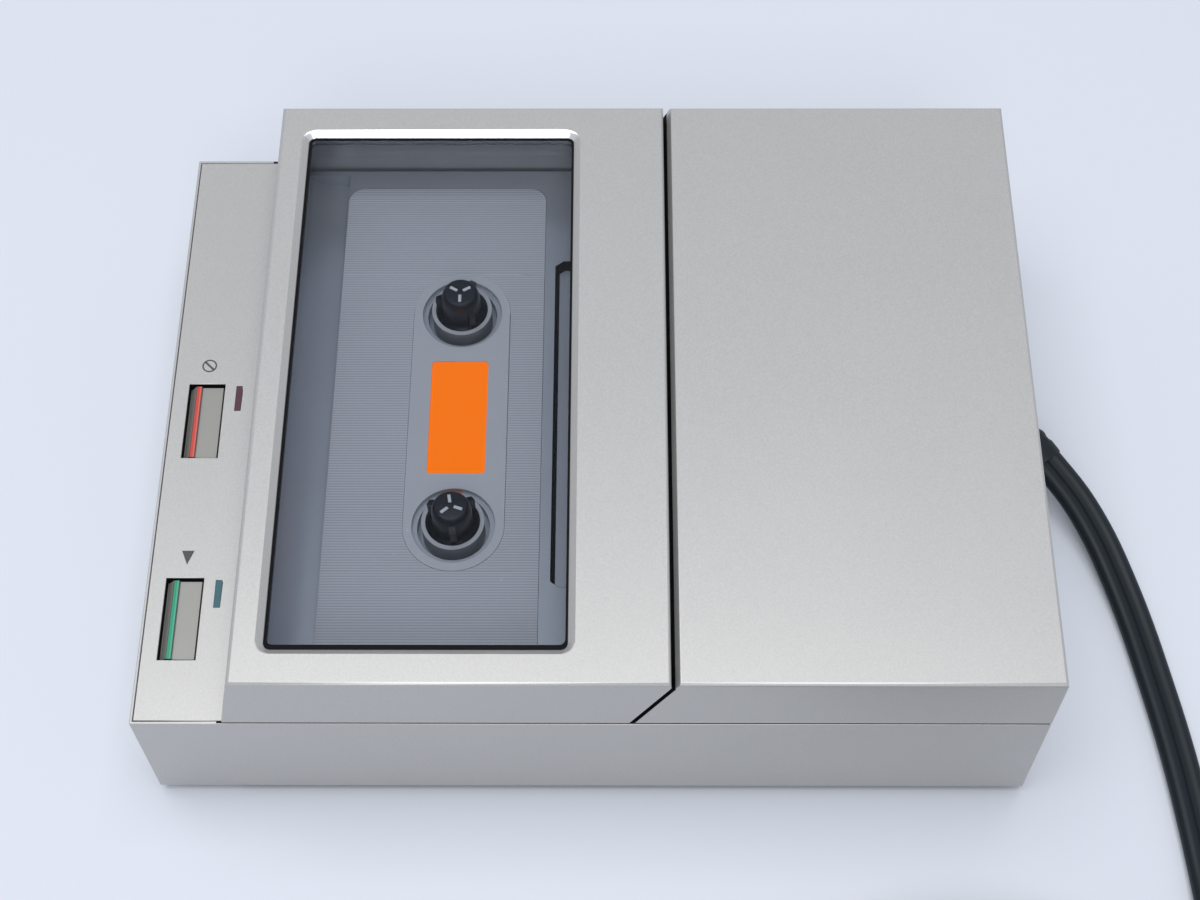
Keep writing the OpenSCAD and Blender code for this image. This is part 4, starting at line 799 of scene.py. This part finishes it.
for look, names in nodeLooks.items():
    for name in names:
        mesh = nodes[name].data
        mesh.materials.clear()
        mesh.materials.append(looks[look])
print("finishes placed")


# the table, the light of the room and the pale backdrop that the camera and mirrors see
stageLook = {"floor": (0.74, 0.775, 0.85), "size": 6.0, "world": (0.86, 0.90, 0.97), "worldStrength": 0.5,
             "backdrop": (0.685, 0.722, 0.80)}


def makeFloor():
    bm = bmesh.new()
    bmesh.ops.create_grid(bm, x_segments=8, y_segments=8, size=stageLook["size"] / 2)
    mesh = bpy.data.meshes.new("floor")
    bm.to_mesh(mesh)
    bm.free()
    floor = bpy.data.objects.new("floor", mesh)
    scene.collection.objects.link(floor)
    paint = Paint("tableTop", stageLook["floor"], Roughness=0.6)
    cloud = paint.noise(0.25, 2.0)
    paint.feed("Base Color", paint.mix(cloud, tuple(c * 0.985 for c in stageLook["floor"]), stageLook["floor"]))
    mesh.materials.append(paint.material)


def makeWorld():
    world = bpy.data.worlds.new("studio")
    scene.world = world
    world.use_nodes = True
    tree = world.node_tree
    lit = tree.nodes["Background"]
    lit.inputs[0].default_value = (*stageLook["world"], 1)
    lit.inputs[1].default_value = stageLook["worldStrength"]
    shown = tree.nodes.new("ShaderNodeBackground")
    shown.inputs[0].default_value = (*stageLook["backdrop"], 1)
    shown.inputs[1].default_value = 1.0
    path = tree.nodes.new("ShaderNodeLightPath")
    either = [tree.nodes.new("ShaderNodeMath") for _ in range(2)]
    for made in either:
        made.operation = "MAXIMUM"
    tree.links.new(path.outputs["Is Camera Ray"], either[0].inputs[0])
    tree.links.new(path.outputs["Is Glossy Ray"], either[0].inputs[1])
    tree.links.new(either[0].outputs[0], either[1].inputs[0])
    tree.links.new(path.outputs["Is Transmission Ray"], either[1].inputs[1])
    seen = tree.nodes.new("ShaderNodeMixShader")
    tree.links.new(either[1].outputs[0], seen.inputs[0])
    tree.links.new(lit.outputs[0], seen.inputs[1])
    tree.links.new(shown.outputs[0], seen.inputs[2])
    tree.links.new(seen.outputs[0], tree.nodes["World Output"].inputs[0])


# a wide lamp above the case and a smaller one towards its near side, in metres and watts
lamps = {
    "keyLamp": {"place": (0.0, -0.10, 1.15), "aim": (0.0, 0, 0), "size": (0.76, 0.95), "power": 6.95},
    "windowLamp": {"place": (1.05, 0.06, 1.17), "aim": (0, 0, 0.03), "size": (0.6, 0.5), "power": 4.1},
}


def makeLamps():
    for name, lamp in lamps.items():
        data = bpy.data.lights.new(name, "AREA")
        data.shape, data.energy = "RECTANGLE", lamp["power"]
        data.size, data.size_y = lamp["size"]
        made = bpy.data.objects.new(name, data)
        scene.collection.objects.link(made)
        made.location = lamp["place"]
        way = Vector(lamp["aim"]) - Vector(lamp["place"])
        made.rotation_euler = way.to_track_quat("-Z", "Y").to_euler()


makeFloor()
makeWorld()
makeLamps()
scene.view_settings.view_transform = "Standard"
print("stage lit")
